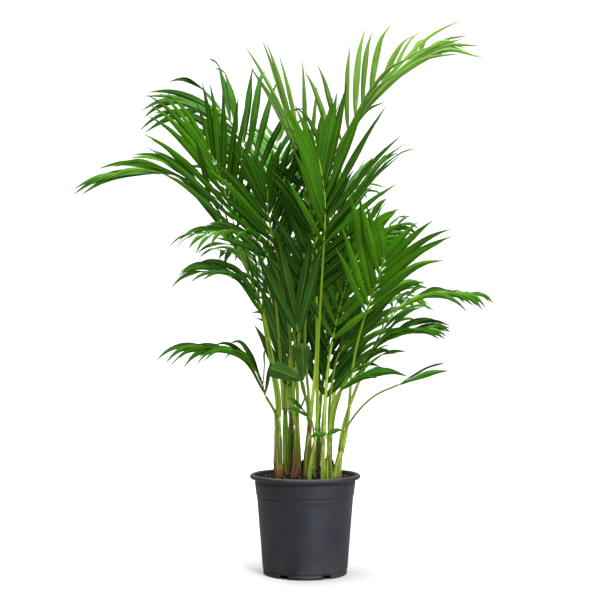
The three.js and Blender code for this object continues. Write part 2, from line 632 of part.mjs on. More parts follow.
/** Grows a leaflet out of one face of the stalk, given as corner numbers near, far and ridge. */
function growLeaflet(body, foot, sections, side) {
  const order = side > 0 ? ['near', 'far', 'ridge'] : ['ridge', 'far', 'near'];
  const faces = [];
  let ring = order.map((name) => foot[name]);
  for (const section of sections.slice(0, -1)) {
    const next = body.add(order.map((name) => section[name]));
    ring.forEach((corner, i) => {
      const j = (i + 1) % 3;
      const flat = order[i] !== 'ridge' && order[j] !== 'ridge';
      const [a, b, c, d] = [corner, ring[j], next[j], next[i]].map((n) => body.corners[n]);
      const middle = (p, q) => p.clone().add(q).multiplyScalar(0.5);
      const top = section.ridge;
      const other = flat && middle(b, d).distanceTo(top) > middle(a, c).distanceTo(top);
      if (other) faces.push([corner, ring[j], next[i]], [ring[j], next[j], next[i]]);
      else faces.push([corner, ring[j], next[j]], [corner, next[j], next[i]]);
    });
    ring = next;
  }
  const [tip] = body.add([sections.at(-1).tip]);
  ring.forEach((corner, i) => faces.push([corner, ring[(i + 1) % 3], tip]));
  body.faces.push(...faces);
  return faces;
}

/** The faces that a leaflet would have, a little larger than life, to test it against others. */
function leafletProbe(sections, side, foot) {
  const probe = new Body();
  const [near, far, ridge] = probe.add([foot.near, foot.far, foot.ridge]);
  const faces = growLeaflet(probe, { near, far, ridge }, sections, side);
  return { all: probe.triangles(faces), beyondFoot: probe.triangles(faces.slice(6)) };
}

/** Finds how a leaflet has to bend to stay clear of what is already placed, or null if it can't. */
function clearBend(frond, frame, pair, side, foot, placed, name) {
  for (const length of SHORTENINGS) {
    for (const [swing, lift] of BENDS) {
      const bend = { swing, lift, length };
      const probe = leafletProbe(leafletSections(frond, frame, pair, side, bend, 0.7), side, foot);
      const crossed = placed.crossed(probe.all, [`${name} stalk`]) ?? placed.crossed(probe.beyondFoot);
      if (!crossed) return bend;
    }
  }
  return null;
}

/**
 * A frond: rings of the stalk with a flat face at each end. Every pair of leaflets grows out of one
 * face on the right and one on the left of its own short length of stalk.
 */
function buildFrond(name, frond, curve, placed) {
  const length = curve.getLength();
  const { shares, feet } = stalkShares(frond, length);
  const body = new Body();
  const frames = shares.map((share) => stalkFrame(frond, curve, share));
  const rings = frames.map((frame, i) => body.add(stalkRing(frame, stalkRadius(frond, shares[i], length))));
  body.faces.push([...rings[0]], [...rings.at(-1)].reverse());
  for (let i = 1; i < rings.length; i += 1) {
    const faces = tubeFaces(rings[i - 1], rings[i]);
    const pair = feet.indexOf(i - 1);
    if (pair < 0) {
      body.faces.push(...faces);
      continue;
    }
    const [right, top, left] = rings[i - 1];
    const [farRight, farTop, farLeft] = rings[i];
    const grows = [
      { side: 1, face: 0, foot: { near: right, far: farRight, ridge: top } },
      { side: -1, face: 3, foot: { near: left, far: farLeft, ridge: farTop } },
    ];
    for (const { side, face, foot } of grows) {
      const points = Object.fromEntries(Object.entries(foot).map(([key, n]) => [key, body.corners[n]]));
      const frame = { ...frames[i], at: points.near.clone().add(points.far).multiplyScalar(0.5) };
      const bend = clearBend(frond, frame, pair, side, points, placed, name);
      if (!bend) continue;
      faces[face] = null;
      const grown = growLeaflet(body, foot, leafletSections(frond, frame, pair, side, bend, 0), side);
      placed.add(body.triangles(grown), name);
    }
    body.faces.push(...faces.filter(Boolean));
  }
  return body;
}

// ---- Putting the plant together ------------------------------------------------------------

const palm = new THREE.Group();

function addMesh(name, geometry, material) {
  const mesh = new THREE.Mesh(geometry, material);
  mesh.name = name;
  palm.add(mesh);
}

const placed = new PlacedFaces();
let soil = buildSoil();
const canes = {};
for (const [name, cane] of Object.entries(CANES)) {
  const body = tube(caneRings(cane));
  canes[name] = toSolid(body.geometry());
  placed.add(body.triangles(), name);
  soil = soil.subtract(toSolid(tube(caneRings(cane, GAP)).geometry()));
}
const stub = toSolid(tube(caneRings(DEAD_STUB)).geometry());
soil = soil.subtract(toSolid(tube(caneRings(DEAD_STUB, GAP)).geometry()));

const curves = {};
Object.entries(FRONDS).forEach(([name, frond], i) => {
  frond.number = i + 1;
  const [holder] = frond.seat;
  const crossings = NUDGES.map((shift) => {
    const probe = stalkTube(frond, stalkCurve(frond, shift), GAP);
    return placed.crossed(probe.triangles(), [holder]);
  });
  const nudge = NUDGES[crossings.indexOf(undefined)];
  if (nudge === undefined) throw new Error(`the stalk of ${name} crosses ${crossings}`);
  curves[name] = stalkCurve(frond, nudge);
  placed.add(stalkTube(frond, curves[name], 0).triangles(), `${name} stalk`);
  const socket = toSolid(stalkTube(frond, curves[name], GAP).geometry());
  if (holder === 'soil') soil = soil.subtract(socket);
  else canes[holder] = canes[holder].subtract(socket);
});

addMesh('pot', fromSolid(buildPot()), potPlastic);
addMesh('soil', fromSolid(soil), pottingSoil);
for (const [name, solid] of Object.entries(canes)) addMesh(name, fromSolid(solid), caneGreen);
addMesh('dead_stub', fromSolid(stub), deadBrown);
for (const [name, frond] of Object.entries(FRONDS)) {
  addMesh(name, buildFrond(name, frond, curves[name], placed).geometry(), leafGreen);
}

export default palm;
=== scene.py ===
"""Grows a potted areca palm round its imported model: leaflets, stalks, canes, soil and pot."""

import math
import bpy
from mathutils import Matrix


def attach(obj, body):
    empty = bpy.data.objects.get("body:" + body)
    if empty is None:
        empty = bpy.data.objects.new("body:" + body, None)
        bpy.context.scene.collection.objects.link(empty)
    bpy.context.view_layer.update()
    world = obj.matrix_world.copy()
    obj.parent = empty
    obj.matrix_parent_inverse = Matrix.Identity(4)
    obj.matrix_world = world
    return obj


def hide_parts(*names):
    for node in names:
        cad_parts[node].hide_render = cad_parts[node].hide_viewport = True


bl_info = {
    "name": "Potted Palm",
    "version": (1, 0, 0),
    "blender": (4, 5, 0),
    "location": "3D View > Sidebar > Palm",
    "description": "Grows the leaflets, stalks, canes, soil and pot of a potted palm",
    "category": "Add Mesh",
}

import bpy
import numpy as np
from bpy.props import (
    FloatProperty,
    FloatVectorProperty,
    IntProperty,
    PointerProperty,
)

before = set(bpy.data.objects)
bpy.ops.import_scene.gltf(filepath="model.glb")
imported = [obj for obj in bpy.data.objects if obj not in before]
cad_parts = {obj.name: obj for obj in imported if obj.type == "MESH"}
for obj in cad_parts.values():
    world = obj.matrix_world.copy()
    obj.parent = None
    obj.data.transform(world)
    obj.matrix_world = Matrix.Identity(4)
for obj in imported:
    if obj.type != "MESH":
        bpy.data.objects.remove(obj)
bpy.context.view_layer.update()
NODES = sorted(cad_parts)
FRONDS = [name for name in NODES if name.startswith("frond_")]
CANES = [name for name in NODES if name.startswith("cane_")]

MM = 0.001
TAU = 2 * math.pi

# Height at which the canes leave the soil, and the level that the soil is filled to.
SOIL_LINE = 146 * MM
SOIL_LEVEL = 145.6 * MM
# Foot of the torn strips of sheath, just in the soil.
HUSK_FOOT = 143 * MM
# Angles past which an edge stays an edge: on leaflets, torn strips, the pot and crumbs of soil.
LEAFLET_EDGE = math.radians(18)
HUSK_EDGE = math.radians(40)
POT_EDGE = math.radians(34)
CRUMB_EDGE = math.radians(25)

# Where the sections of a CAD leaflet lie along it, as shares of its length: foot, three rings, tip.
LEAFLET_KNOTS = np.array([0.0, 0.2, 0.5, 0.8, 1.0])
# Outline of a leaflet: share of its length, and half its breadth as a share of the greatest.
OUTLINE_KNOTS = np.array([0.0, 0.08, 0.22, 0.48, 0.78, 0.92, 1.0])
OUTLINE_BREADTHS = np.array([0.26, 0.56, 0.82, 0.96, 0.52, 0.2, 0.0])
# The same for the forked young leaf, whose two lobes widen up to a ragged, cut end.
FORKED_FROND = "frond_20"
FORKED_BREADTHS = np.array([0.3, 0.42, 0.62, 0.95, 1.2, 0.95, 0.0])

# How young each frond's green is: 0 an old dark frond, 1 a fresh yellow-green one.
YOUTH = {
    "frond_01": 0.85,
    "frond_02": 0.5,
    "frond_03": 0.35,
    "frond_04": 0.4,
    "frond_05": 0.15,
    "frond_06": 0.6,
    "frond_07": 0.35,
    "frond_08": 0.2,
    "frond_16": 0.95,
    "frond_19": 0.65,
    "frond_20": 0.12,
}
DEFAULT_YOUTH = 0.25

# How much of an underside's grey green the upper side of these fronds has too.
DULLNESS = {"frond_20": 1.0, "frond_28": 0.4, "frond_29": 0.4, "frond_30": 0.5}

# How much more the leaflets of these fronds hang at their ends than those of the others.
ARCHING = {"frond_01": 6.0, "frond_02": 2.0, "frond_06": 2.0}

# How far rusty fibre climbs from the soil up each cane, in millimetres; little on the others.
RUST_CLIMB = {
    "cane_01": 24,
    "cane_02": 18,
    "cane_03": 30,
    "cane_04": 36,
    "cane_05": 12,
    "cane_07": 12,
    "cane_10": 14,
    "cane_11": 9,
}
# How far dry fibre climbs on the dead cane, in millimetres.
DEAD_CLIMB = 24

# Height in millimetres of a dry patch on the front of a cane.
DRY_PATCHES = {"cane_02": 246, "cane_05": 222, "cane_11": 196}

# Drain notches of the foot ring: their number, and in millimetres their width, their height and how
# far their middles lie from the pot's axis.
NOTCH_COUNT = 6
NOTCH_WIDTH = 14
NOTCH_HEIGHT = 6
NOTCH_CIRCLE = 64
# Drain holes of the floor: their number, and in millimetres their radius, how far they lie from the
# axis, and the heights between which they are cut.
DRAIN_COUNT = 4
DRAIN_RADIUS = 4
DRAIN_CIRCLE = 42
DRAIN_ENDS = (4.0, 12.0)


# ---- Settings -------------------------------------------------------------------------------


class PALM_PG_leaves(bpy.types.PropertyGroup):
    """Sizes and greens of the leaflets."""

    thickness: FloatProperty(
        name="Blade thickness",
        description="Thickness of a leaflet at its midrib",
        default=0.45 * MM,
        unit="LENGTH",
    )
    rings: IntProperty(
        name="Rings",
        description="Sections along one leaflet",
        default=14,
        min=6,
        max=16,
    )
    tip_fall: FloatProperty(
        name="Tip fall",
        description="How far the last part of a leaflet hangs below the packed one",
        default=3 * MM,
        unit="LENGTH",
    )
    roll: FloatProperty(
        name="Roll",
        description="How far leaflets roll about their midribs, as the spread of a normal draw",
        default=math.radians(13),
        subtype="ANGLE",
    )
    twist: FloatProperty(
        name="Twist",
        description="Most that a leaflet twists from foot to tip",
        default=math.radians(32),
        subtype="ANGLE",
    )
    old_green: FloatVectorProperty(
        name="Old green",
        description="Colour of an old frond",
        default=(0.013, 0.094, 0.001),
        subtype="COLOR",
    )
    young_green: FloatVectorProperty(
        name="Young green",
        description="Colour of a fresh frond",
        default=(0.125, 0.4, 0.003),
        subtype="COLOR",
    )
    pale_green: FloatVectorProperty(
        name="Pale green",
        description="Colour of the youngest fronds, whose leaflets let light through",
        default=(0.19, 0.38, 0.055),
        subtype="COLOR",
    )
    # Painted shade: leaflets deep in the clump are pulled towards this dark cool green, and leaflets of
    # high random tone are too.
    shade_and_tone_green: FloatVectorProperty(
        name="Cool green",
        description="Colour that the leaflets inside the clump tend to",
        default=(0.014, 0.085, 0.012),
        subtype="COLOR",
    )
    rib_green: FloatVectorProperty(
        name="Midrib",
        description="Colour of the midrib",
        default=(0.2, 0.36, 0.012),
        subtype="COLOR",
    )
    under_green: FloatVectorProperty(
        name="Underside",
        description="Colour of a leaflet's underside",
        default=(0.055, 0.115, 0.024),
        subtype="COLOR",
    )
    tip_brown: FloatVectorProperty(
        name="Dry tip",
        description="Colour of the dry end of a leaflet",
        default=(0.22, 0.15, 0.05),
        subtype="COLOR",
    )


class PALM_PG_stalks(bpy.types.PropertyGroup):
    """Sizes and greens of the stalks."""

    step: FloatProperty(
        name="Step",
        description="Distance between two sections of a stalk",
        default=7 * MM,
        unit="LENGTH",
    )
    sides: IntProperty(
        name="Sides",
        description="Corners of a stalk's section",
        default=12,
        min=6,
        max=16,
    )
    flare_length: FloatProperty(
        name="Flare length",
        description="Length over which a stalk widens into its sheath",
        default=60 * MM,
        unit="LENGTH",
    )
    fresh: FloatVectorProperty(
        name="Fresh stalk",
        description="Colour of a stalk near its cane",
        default=(0.46, 0.68, 0.05),
        subtype="COLOR",
    )
    green: FloatVectorProperty(
        name="Green stalk",
        description="Colour of a stalk among its leaflets",
        default=(0.3, 0.54, 0.03),
        subtype="COLOR",
    )


class PALM_PG_canes(bpy.types.PropertyGroup):
    """Sizes and colours of the canes."""

    around: IntProperty(
        name="Around",
        description="Corners round a cane",
        default=40,
    )
    up: IntProperty(
        name="Up",
        description="Sections along a cane",
        default=90,
    )
    sheath: FloatProperty(
        name="Sheath thickness",
        description="Step where an outer leaf sheath ends",
        default=0.55 * MM,
        unit="LENGTH",
    )
    green: FloatVectorProperty(
        name="Sheath green",
        description="Colour of a fresh sheath",
        default=(0.2, 0.4, 0.025),
        subtype="COLOR",
    )
    straw: FloatVectorProperty(
        name="Straw",
        description="Colour of a yellowing sheath",
        default=(0.74, 0.66, 0.17),
        subtype="COLOR",
    )
    rust: FloatVectorProperty(
        name="Rust",
        description="Colour of the dry fibre at a cane's foot",
        default=(0.3, 0.12, 0.035),
        subtype="COLOR",
    )


class PALM_PG_pot(bpy.types.PropertyGroup):
    """Fineness and colours of the pot."""

    around: IntProperty(
        name="Around",
        description="Corners round the pot",
        default=192,
    )
    plastic: FloatVectorProperty(
        name="Plastic",
        description="Colour of the pot",
        default=(0.013, 0.0138, 0.021),
        subtype="COLOR",
    )
    dust: FloatVectorProperty(
        name="Dust",
        description="Colour of the dust on the pot",
        default=(0.05, 0.048, 0.046),
        subtype="COLOR",
    )


class PALM_PG_soil(bpy.types.PropertyGroup):
    """Crumbs and colours of the soil."""

    crumbs: IntProperty(
        name="Crumbs",
        description="Loose crumbs on the soil",
        default=900,
    )
    dark: FloatVectorProperty(
        name="Dark soil",
        description="Colour of damp soil",
        default=(0.006, 0.0033, 0.002),
        subtype="COLOR",
    )
    light: FloatVectorProperty(
        name="Light soil",
        description="Colour of dry crumbs and bark",
        default=(0.26, 0.12, 0.05),
        subtype="COLOR",
    )


class PALM_PG_stage(bpy.types.PropertyGroup):
    """Place and lens of the camera."""

    distance: FloatProperty(
        name="Distance",
        description="From the camera to the pot's axis",
        default=2.0,
        unit="LENGTH",
    )
    height: FloatProperty(
        name="Height",
        description="Of the camera over the floor",
        default=0.370,
        unit="LENGTH",
    )
    aside: FloatProperty(
        name="Aside",
        description="Camera's place to the right of the pot's axis",
        default=-0.0079,
        unit="LENGTH",
    )
    tilt: FloatProperty(
        name="Tilt",
        description="Angle that the camera looks up",
        default=math.radians(1.40),
        subtype="ANGLE",
    )
    lens: FloatProperty(
        name="Lens",
        description="Focal length in millimetres",
        default=77.79,
    )


GROUPS = {
    "palm_leaves": PALM_PG_leaves,
    "palm_stalks": PALM_PG_stalks,
    "palm_canes": PALM_PG_canes,
    "palm_pot": PALM_PG_pot,
    "palm_soil": PALM_PG_soil,
    "palm_stage": PALM_PG_stage,
}


# ---- Numbers --------------------------------------------------------------------------------


def unit(vectors):
    """The vectors divided by their lengths."""
    return vectors / np.maximum(np.linalg.norm(vectors, axis=-1, keepdims=True), 1e-12)


def square_to(vectors, along):
    """Unit vectors with their share along the given directions taken out."""
    return unit(vectors - (vectors * along).sum(-1, keepdims=True) * along)


def smooth_step(low, high, value):
    """Rises from 0 at low to 1 at high as 3 t squared minus 2 t cubed."""
    t = np.clip((value - low) / (high - low), 0, 1)
    return t * t * (3 - 2 * t)


def smooth_through(knots, values, at):
    """Cubic Hermite curve through values at the knots (on the second-last axis).

    The slope at a knot is that of the parabola through it and its two neighbours.
    """
    gaps = np.diff(knots)[:, None]
    chords = np.diff(values, axis=-2) / gaps
    inner = (chords[..., :-1, :] * gaps[1:] + chords[..., 1:, :] * gaps[:-1]) / (gaps[1:] + gaps[:-1])
    first = 1.5 * chords[..., :1, :] - 0.5 * inner[..., :1, :]
    last = 1.5 * chords[..., -1:, :] - 0.5 * inner[..., -1:, :]
    slopes = np.concatenate([first, inner, last], axis=-2)
    i = np.clip(np.searchsorted(knots, at, side="right") - 1, 0, len(knots) - 2)
    gap = gaps[i]
    t = (at - knots[i])[:, None] / gap
    return (
        (1 + 2 * t) * (1 - t) ** 2 * values[..., i, :]
        + t * (1 - t) ** 2 * gap * slopes[..., i, :]
        + t**2 * (3 - 2 * t) * values[..., i + 1, :]
        + t**2 * (t - 1) * gap * slopes[..., i + 1, :]
    )


def lattice_noise(points, size, seed):
    """Smooth noise from -1 to 1: random values on a cubic lattice, blended by smooth steps."""
    place = np.asarray(points) / size
    cell = np.floor(place).astype(np.int64)
    share = smooth_step(0, 1, place - cell)
    total = np.zeros(place.shape[:-1])
    for corner in np.ndindex(2, 2, 2):
        key = (cell + np.array(corner)) * [73856093, 19349663, 83492791]
        mixed = key[..., 0] ^ key[..., 1] ^ key[..., 2] ^ seed * 2654435761
        mixed = (mixed ^ (mixed >> 13)) * 1274126177 & 0xFFFFFFFF
        value = ((mixed ^ (mixed >> 16)) & 0xFFFF) / 32767.5 - 1
        weight = np.where(np.array(corner) == 1, share, 1 - share).prod(-1)
        total += value * weight
    return total


def bark_noise(turns, heights, around, up, seed):
    """Lattice noise on a cane: around cells out from its axis in every direction, up cells a metre."""
    place = np.stack([np.cos(turns) * around, np.sin(turns) * around, heights * up], -1)
    return lattice_noise(place, 1.0, seed)


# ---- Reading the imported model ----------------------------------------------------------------


def merged_mesh(node):
    """Corners and triangles of a CAD node, with the corners that share a place made one."""
    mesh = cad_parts[node].data
    corners = np.empty(len(mesh.vertices) * 3, np.float32)
    mesh.vertices.foreach_get("co", corners)
    mesh.calc_loop_triangles()
    triangles = np.empty(len(mesh.loop_triangles) * 3, np.int32)
    mesh.loop_triangles.foreach_get("vertices", triangles)
    places, index = np.unique(np.round(corners.reshape(-1, 3), 6), axis=0, return_inverse=True)
    return places.astype(float), index.reshape(-1)[triangles].reshape(-1, 3)


def next_ring(ring, links, seen, allowed=None):
    """The corners that a ring links to and that weren't seen yet."""
    found = set().union(*(links[corner] for corner in ring)) - seen
    return found if allowed is None else found & allowed


def read_frond(node):
    """The stalk's rings and the leaflets' sections of a packed frond.

    A leaflet's tip is a corner with three neighbours. Going out from it along the edges come three
    rings of three corners, and then the three corners of the stalk that it grows from. What is left
    is the stalk, whose rings follow each other from the lowest one up.
    """
    places, triangles = merged_mesh(node)
    links = [set() for _ in places]
    for a, b, c in triangles.tolist():
        links[a] |= {b, c}
        links[b] |= {a, c}
        links[c] |= {a, b}
    leaflets = []
    grown = set()
    for tip in (i for i, near in enumerate(links) if len(near) == 3):
        rings = [links[tip]]
        seen = {tip} | links[tip]
        for _ in range(3):
            rings.append(next_ring(rings[-1], links, seen))
            seen |= rings[-1]
        grown |= {tip}.union(*rings[:3])
        leaflets.append([places[tip]] + [places[sorted(ring)] for ring in rings])
    stalk = set(range(len(places))) - grown
    rings = [set(sorted(stalk, key=lambda i: places[i][2])[:3])]
    seen = set(rings[0])
    while ring := next_ring(rings[-1], links, seen, stalk):
        rings.append(ring)
        seen |= ring
    if any(len(ring) != 3 for ring in rings) or len(seen) != len(stalk):
        raise RuntimeError(f"{node}: its stalk isn't made of rings of three corners")
    return np.array([places[sorted(ring)] for ring in rings]), leaflets


def leaflet_sections(leaflets):
    """The centres of each leaflet's sections, its greatest half breadth, and its upward directions.

    Sections and directions run from foot to tip. In a ring of three corners the two that lie
    furthest apart are the edges, and the third is the ridge. A direction is the ridge's, squared to
    the edges' line.
    """
    centres, breadths, uppers = [], [], []
    for tip, *rings in leaflets:
        middle, half, upper = [], [], []
        for ring in rings[:3][::-1]:
            sides = [np.linalg.norm(ring[(i + 1) % 3] - ring[(i + 2) % 3]) for i in range(3)]
            ridge = int(np.argmax(sides))
            one, other = ring[(ridge + 1) % 3], ring[(ridge + 2) % 3]
            middle.append((one + other) / 2)
            half.append(sides[ridge] / 2)
            upper.append(square_to(ring[ridge] - middle[-1], unit(other - one)))
        centres.append([rings[3].mean(0), *middle, tip])
        breadths.append(max(half))
        uppers.append([upper[0], *upper, upper[-1]])
    return np.array(centres), np.array(breadths), np.array(uppers)


def cane_levels(node):
    """Height, centre and radius of a packed cane at its level rings, lowest first.

    A level ring is eight or more corners at one height, and its centre is the middle of their box.
    """
    places, _ = merged_mesh(node)
    heights, count = np.unique(np.round(places[:, 2], 4), return_counts=True)
    levels = []
    for height in heights[count >= 8]:
        ring = places[np.abs(places[:, 2] - height) < 1e-4]
        low, high = ring.min(0), ring.max(0)
        levels.append([height, *((low + high) / 2)[:2], (high - low)[:2].max() / 2])
    return np.array(levels)


# ---- Making meshes ---------------------------------------------------------------------------


def make_piece(name, corners, faces, nodes, uv=None, values=None, sharp=None):
    """A piece that rides on the plant's body and stands for its CAD nodes.

    uv is a pair for each corner. values are named numbers for each corner. sharp is the angle past
    which an edge stays an edge.
    """
    mesh = bpy.data.meshes.new(name)
    mesh.from_pydata(corners.reshape(-1, 3).tolist(), [], faces)
    mesh.polygons.foreach_set("use_smooth", np.ones(len(mesh.polygons), bool))
    if uv is not None:
        loops = np.empty(len(mesh.loops), np.int32)
        mesh.loops.foreach_get("vertex_index", loops)
        layer = mesh.uv_layers.new(name="UVMap")
        layer.data.foreach_set("uv", uv.reshape(-1, 2)[loops].astype(np.float32).ravel())
    for key, numbers in (values or {}).items():
        layer = mesh.attributes.new(key, "FLOAT", "POINT")
        layer.data.foreach_set("value", numbers.astype(np.float32).ravel())
    if sharp is not None:
        mesh.set_sharp_from_angle(angle=sharp)
    mesh.validate()
    piece = bpy.data.objects.new(name, mesh)
    bpy.context.scene.collection.objects.link(piece)
    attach(piece, "root")
    if nodes:
        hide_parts(*nodes)
    return piece


def ring_faces(rings, sides):
    """Quads of a tube of rings that run anticlockwise seen from its far end."""
    ring = np.arange(rings - 1)[:, None] * sides
    side = np.arange(sides)[None, :]
    following = (side + 1) % sides
    quads = np.stack([ring + side, ring + following, ring + sides + following, ring + sides + side], -1)
    return quads.reshape(-1, 4)


def tube_faces(rings, sides):
    """Faces of a closed tube: its quads, and a flat cap at each end."""
    faces = ring_faces(rings, sides).tolist()
    faces.append(list(range(sides))[::-1])
    faces.append(list(range((rings - 1) * sides, rings * sides)))
    return faces


def tube_piece(name, rings, nodes, uv, values):
    """A piece that is a closed tube, from its rings of corners."""
    return make_piece(name, rings, tube_faces(*rings.shape[:2]), nodes, uv, values)


# ---- Shader node groups -----------------------------------------------------------------------


class Nodes:
    """Adds nodes to one tree. A call's keywords set a node's own settings, links its inputs."""

    def __init__(self, tree):
        self.tree = tree

    def add(self, kind, inputs=(), **settings):
        """A node of a kind, with its own settings, and values or links for its inputs."""
        node = self.tree.nodes.new(kind)
        for key, value in settings.items():
            setattr(node, key, value)
        for key, value in dict(inputs).items():
            self.feed(node.inputs[key], value)
        return node

    def feed(self, socket, value):
        """Links an input to another node's output, or sets it to a value."""
        if isinstance(value, bpy.types.NodeSocket):
            self.tree.links.new(value, socket)
        else:
            socket.default_value = value

    def math(self, operation, first, second=0.0, third=0.0, clamp=False):
        """The result of an operation on two or three numbers."""
        inputs = {0: first, 1: second, 2: third}
        return self.add("ShaderNodeMath", inputs, operation=operation, use_clamp=clamp).outputs[0]

    def step(self, value, low, high):
        """0 below low, 1 above high, smooth between them; low may be the greater one."""
        inputs = {0: value, 1: low, 2: high}
        return self.add("ShaderNodeMapRange", inputs, interpolation_type="SMOOTHSTEP").outputs[0]

    def mix(self, share, first, second, blend="MIX"):
        """The second colour over the first by a share; the numbers are the colour sockets' places."""
        node = self.add("ShaderNodeMix", data_type="RGBA", blend_type=blend)
        for place, value in ((0, share), (6, first), (7, second)):
            self.feed(node.inputs[place], value)
        return node.outputs[2]

    def noise(self, vector, scale, detail=3.0, roughness=0.55):
        """Noise from 0 to 1 at a place."""
        inputs = {"Vector": vector, "Scale": scale, "Detail": detail, "Roughness": roughness}
        return self.add("ShaderNodeTexNoise", inputs).outputs[0]

    def stretched(self, vector, scale):
        """A place times three numbers."""
        node = self.add("ShaderNodeVectorMath", {0: vector}, operation="MULTIPLY")
        node.inputs[1].default_value = scale
        return node.outputs[0]

    def attribute(self, name):
        """One of the mesh's named numbers."""
        return self.add("ShaderNodeAttribute", attribute_name=name).outputs["Fac"]

    def bump(self, height, strength, distance):
        """The normal over a relief of a height."""
        inputs = {"Height": height, "Strength": strength, "Distance": distance}
        return self.add("ShaderNodeBump", inputs).outputs[0]


def new_group(name, inputs, outputs):
    """An empty node group with named number, colour or vector sockets."""
    group = bpy.data.node_groups.new(name, "ShaderNodeTree")
    for in_out, sockets in (("INPUT", inputs), ("OUTPUT", outputs)):
        for key, (kind, default) in sockets.items():
            socket = group.interface.new_socket(key, in_out=in_out, socket_type=f"NodeSocket{kind}")
            if default is not None and in_out == "INPUT":
                socket.default_value = default
    nodes = Nodes(group)
    return group, nodes, nodes.add("NodeGroupInput").outputs, nodes.add("NodeGroupOutput").inputs


def fibre_group():
    """Fine lines along a surface: noise that is drawn out along V, as a height and as a mask."""
    group, nodes, given, out = new_group(
        "Fibres",
        {"UV": ("Vector", None), "Across": ("Float", 40.0), "Along": ("Float", 1.5)},
        {"Height": ("Float", None), "Mask": ("Float", None)},
    )
    parts = nodes.add("ShaderNodeSeparateXYZ", {0: given["UV"]}).outputs
    across = nodes.math("MULTIPLY", parts[0], given["Across"])
    along = nodes.math("MULTIPLY", parts[1], given["Along"])
    place = nodes.add("ShaderNodeCombineXYZ", {0: across, 1: along, 2: parts[2]}).outputs[0]
    fine = nodes.noise(place, 1.0, 2.0)
    group.links.new(fine, out["Height"])
    group.links.new(nodes.step(fine, 0.4, 0.65), out["Mask"])
    return group


def mottle_group():
    """Soft blotches in the object's own coordinates, as a mask whose share Amount sets."""
    group, nodes, given, out = new_group(
        "Mottle",
        {"Place": ("Vector", None), "Scale": ("Float", 60.0), "Amount": ("Float", 0.5)},
        {"Mask": ("Float", None)},
    )
    coarse = nodes.noise(given["Place"], given["Scale"], 5.0, 0.6)
    edge = nodes.math("SUBTRACT", 0.75, nodes.math("MULTIPLY", given["Amount"], 0.4))
    mask = nodes.step(nodes.math("SUBTRACT", coarse, edge), -0.06, 0.1)
    group.links.new(mask, out["Mask"])
    return group


def place_group(nodes, name, build, inputs):
    """Places a node group, built the first time it is asked for, and gives its outputs."""
    group = bpy.data.node_groups.get(name) or build()
    return nodes.add("ShaderNodeGroup", inputs, node_tree=group).outputs


def place_fibres(nodes, uv, across, along):
    """Lines along a surface, with so many cells of noise to a unit of U and of V."""
    return place_group(nodes, "Fibres", fibre_group, {"UV": uv, "Across": across, "Along": along})


def place_mottle(nodes, place, scale, amount):
    """The mask of soft blotches of a scale, over about so much of the surface."""
    inputs = {"Place": place, "Scale": scale, "Amount": amount}
    return place_group(nodes, "Mottle", mottle_group, inputs)["Mask"]


def rgba(colour, times=1.0):
    """The colour times a number, with full alpha."""
    return (*(channel * times for channel in colour), 1.0)


def new_material(name):
    """A new material, its nodes and its surface shader."""
    material = bpy.data.materials.new(name)
    material.use_nodes = True
    tree = material.node_tree
    return material, Nodes(tree), tree.nodes["Principled BSDF"]


# ---- Materials --------------------------------------------------------------------------------


def leaf_material(settings):
    """Green by the frond's age, toned leaflet by leaflet, and darker and cooler deep in the clump,
    where shade is painted.

    A pale midrib, fine veins, a greyer underside and dry tips lie over it.
    """
    material, nodes, surface = new_material("palm_leaf")
    link = nodes.tree.links.new
    texture = nodes.add("ShaderNodeTexCoord").outputs
    u, v = nodes.add("ShaderNodeSeparateXYZ", {0: texture["UV"]}).outputs[:2]
    tone = nodes.attribute("tone")
    under = nodes.attribute("under")
    fibres = place_fibres(nodes, texture["UV"], 26.0, 1.2)
    blotch = place_mottle(nodes, texture["Object"], 30.0, 0.55)
    youth = nodes.attribute("youth")
    green = nodes.mix(youth, rgba(settings.old_green), rgba(settings.young_green))
    green = nodes.mix(nodes.step(youth, 0.6, 0.9), green, rgba(settings.pale_green))
    painted_shade = nodes.attribute("painted_shade")
    # Painted shade: deep in the clump the green is pulled towards a dark cool green, and leaflets of
    # high tone are too.
    shade_and_tone_cooling = nodes.math("ADD", nodes.math("MULTIPLY", painted_shade, 0.45), nodes.step(tone, 0.2, 1.0))
    green = nodes.mix(nodes.math("MULTIPLY", shade_and_tone_cooling, 0.5, clamp=True), green, rgba(settings.shade_and_tone_green))
    bright = nodes.math("MULTIPLY_ADD", tone, 0.42, third=1.0)
    # The brightness also falls deep in the clump, as painted shade.
    for value, times, plus in ((fibres["Mask"], -0.22, 1.1), (blotch, 0.2, 0.92), (painted_shade, -0.48, 1.0)):
        bright = nodes.math("MULTIPLY", bright, nodes.math("MULTIPLY_ADD", value, times, third=plus))
    green = nodes.mix(1.0, green, bright, "MULTIPLY")
    green = nodes.mix(nodes.math("MULTIPLY", under, 0.65), green, rgba(settings.under_green))
    rib = nodes.step(nodes.math("ABSOLUTE", nodes.math("SUBTRACT", u, 0.5)), 0.06, 0.018)
    green = nodes.mix(nodes.math("MULTIPLY", rib, 0.45), green, rgba(settings.rib_green))
    dry = nodes.step(nodes.math("MULTIPLY_ADD", tone, 0.02, third=v), 0.965, 1.0)
    green = nodes.mix(nodes.math("MULTIPLY", dry, 0.7), green, rgba(settings.tip_brown))
    link(green, surface.inputs["Base Color"])
    rough = nodes.math("MULTIPLY_ADD", fibres["Height"], 0.2, third=0.36)
    link(nodes.math("MULTIPLY_ADD", under, 0.2, third=rough), surface.inputs["Roughness"])
    veins = nodes.math("MULTIPLY_ADD", rib, 1.4, third=fibres["Height"])
    link(nodes.bump(veins, 0.35, 0.4 * MM), surface.inputs["Normal"])
    surface.inputs["Specular IOR Level"].default_value = 0.1
    return material


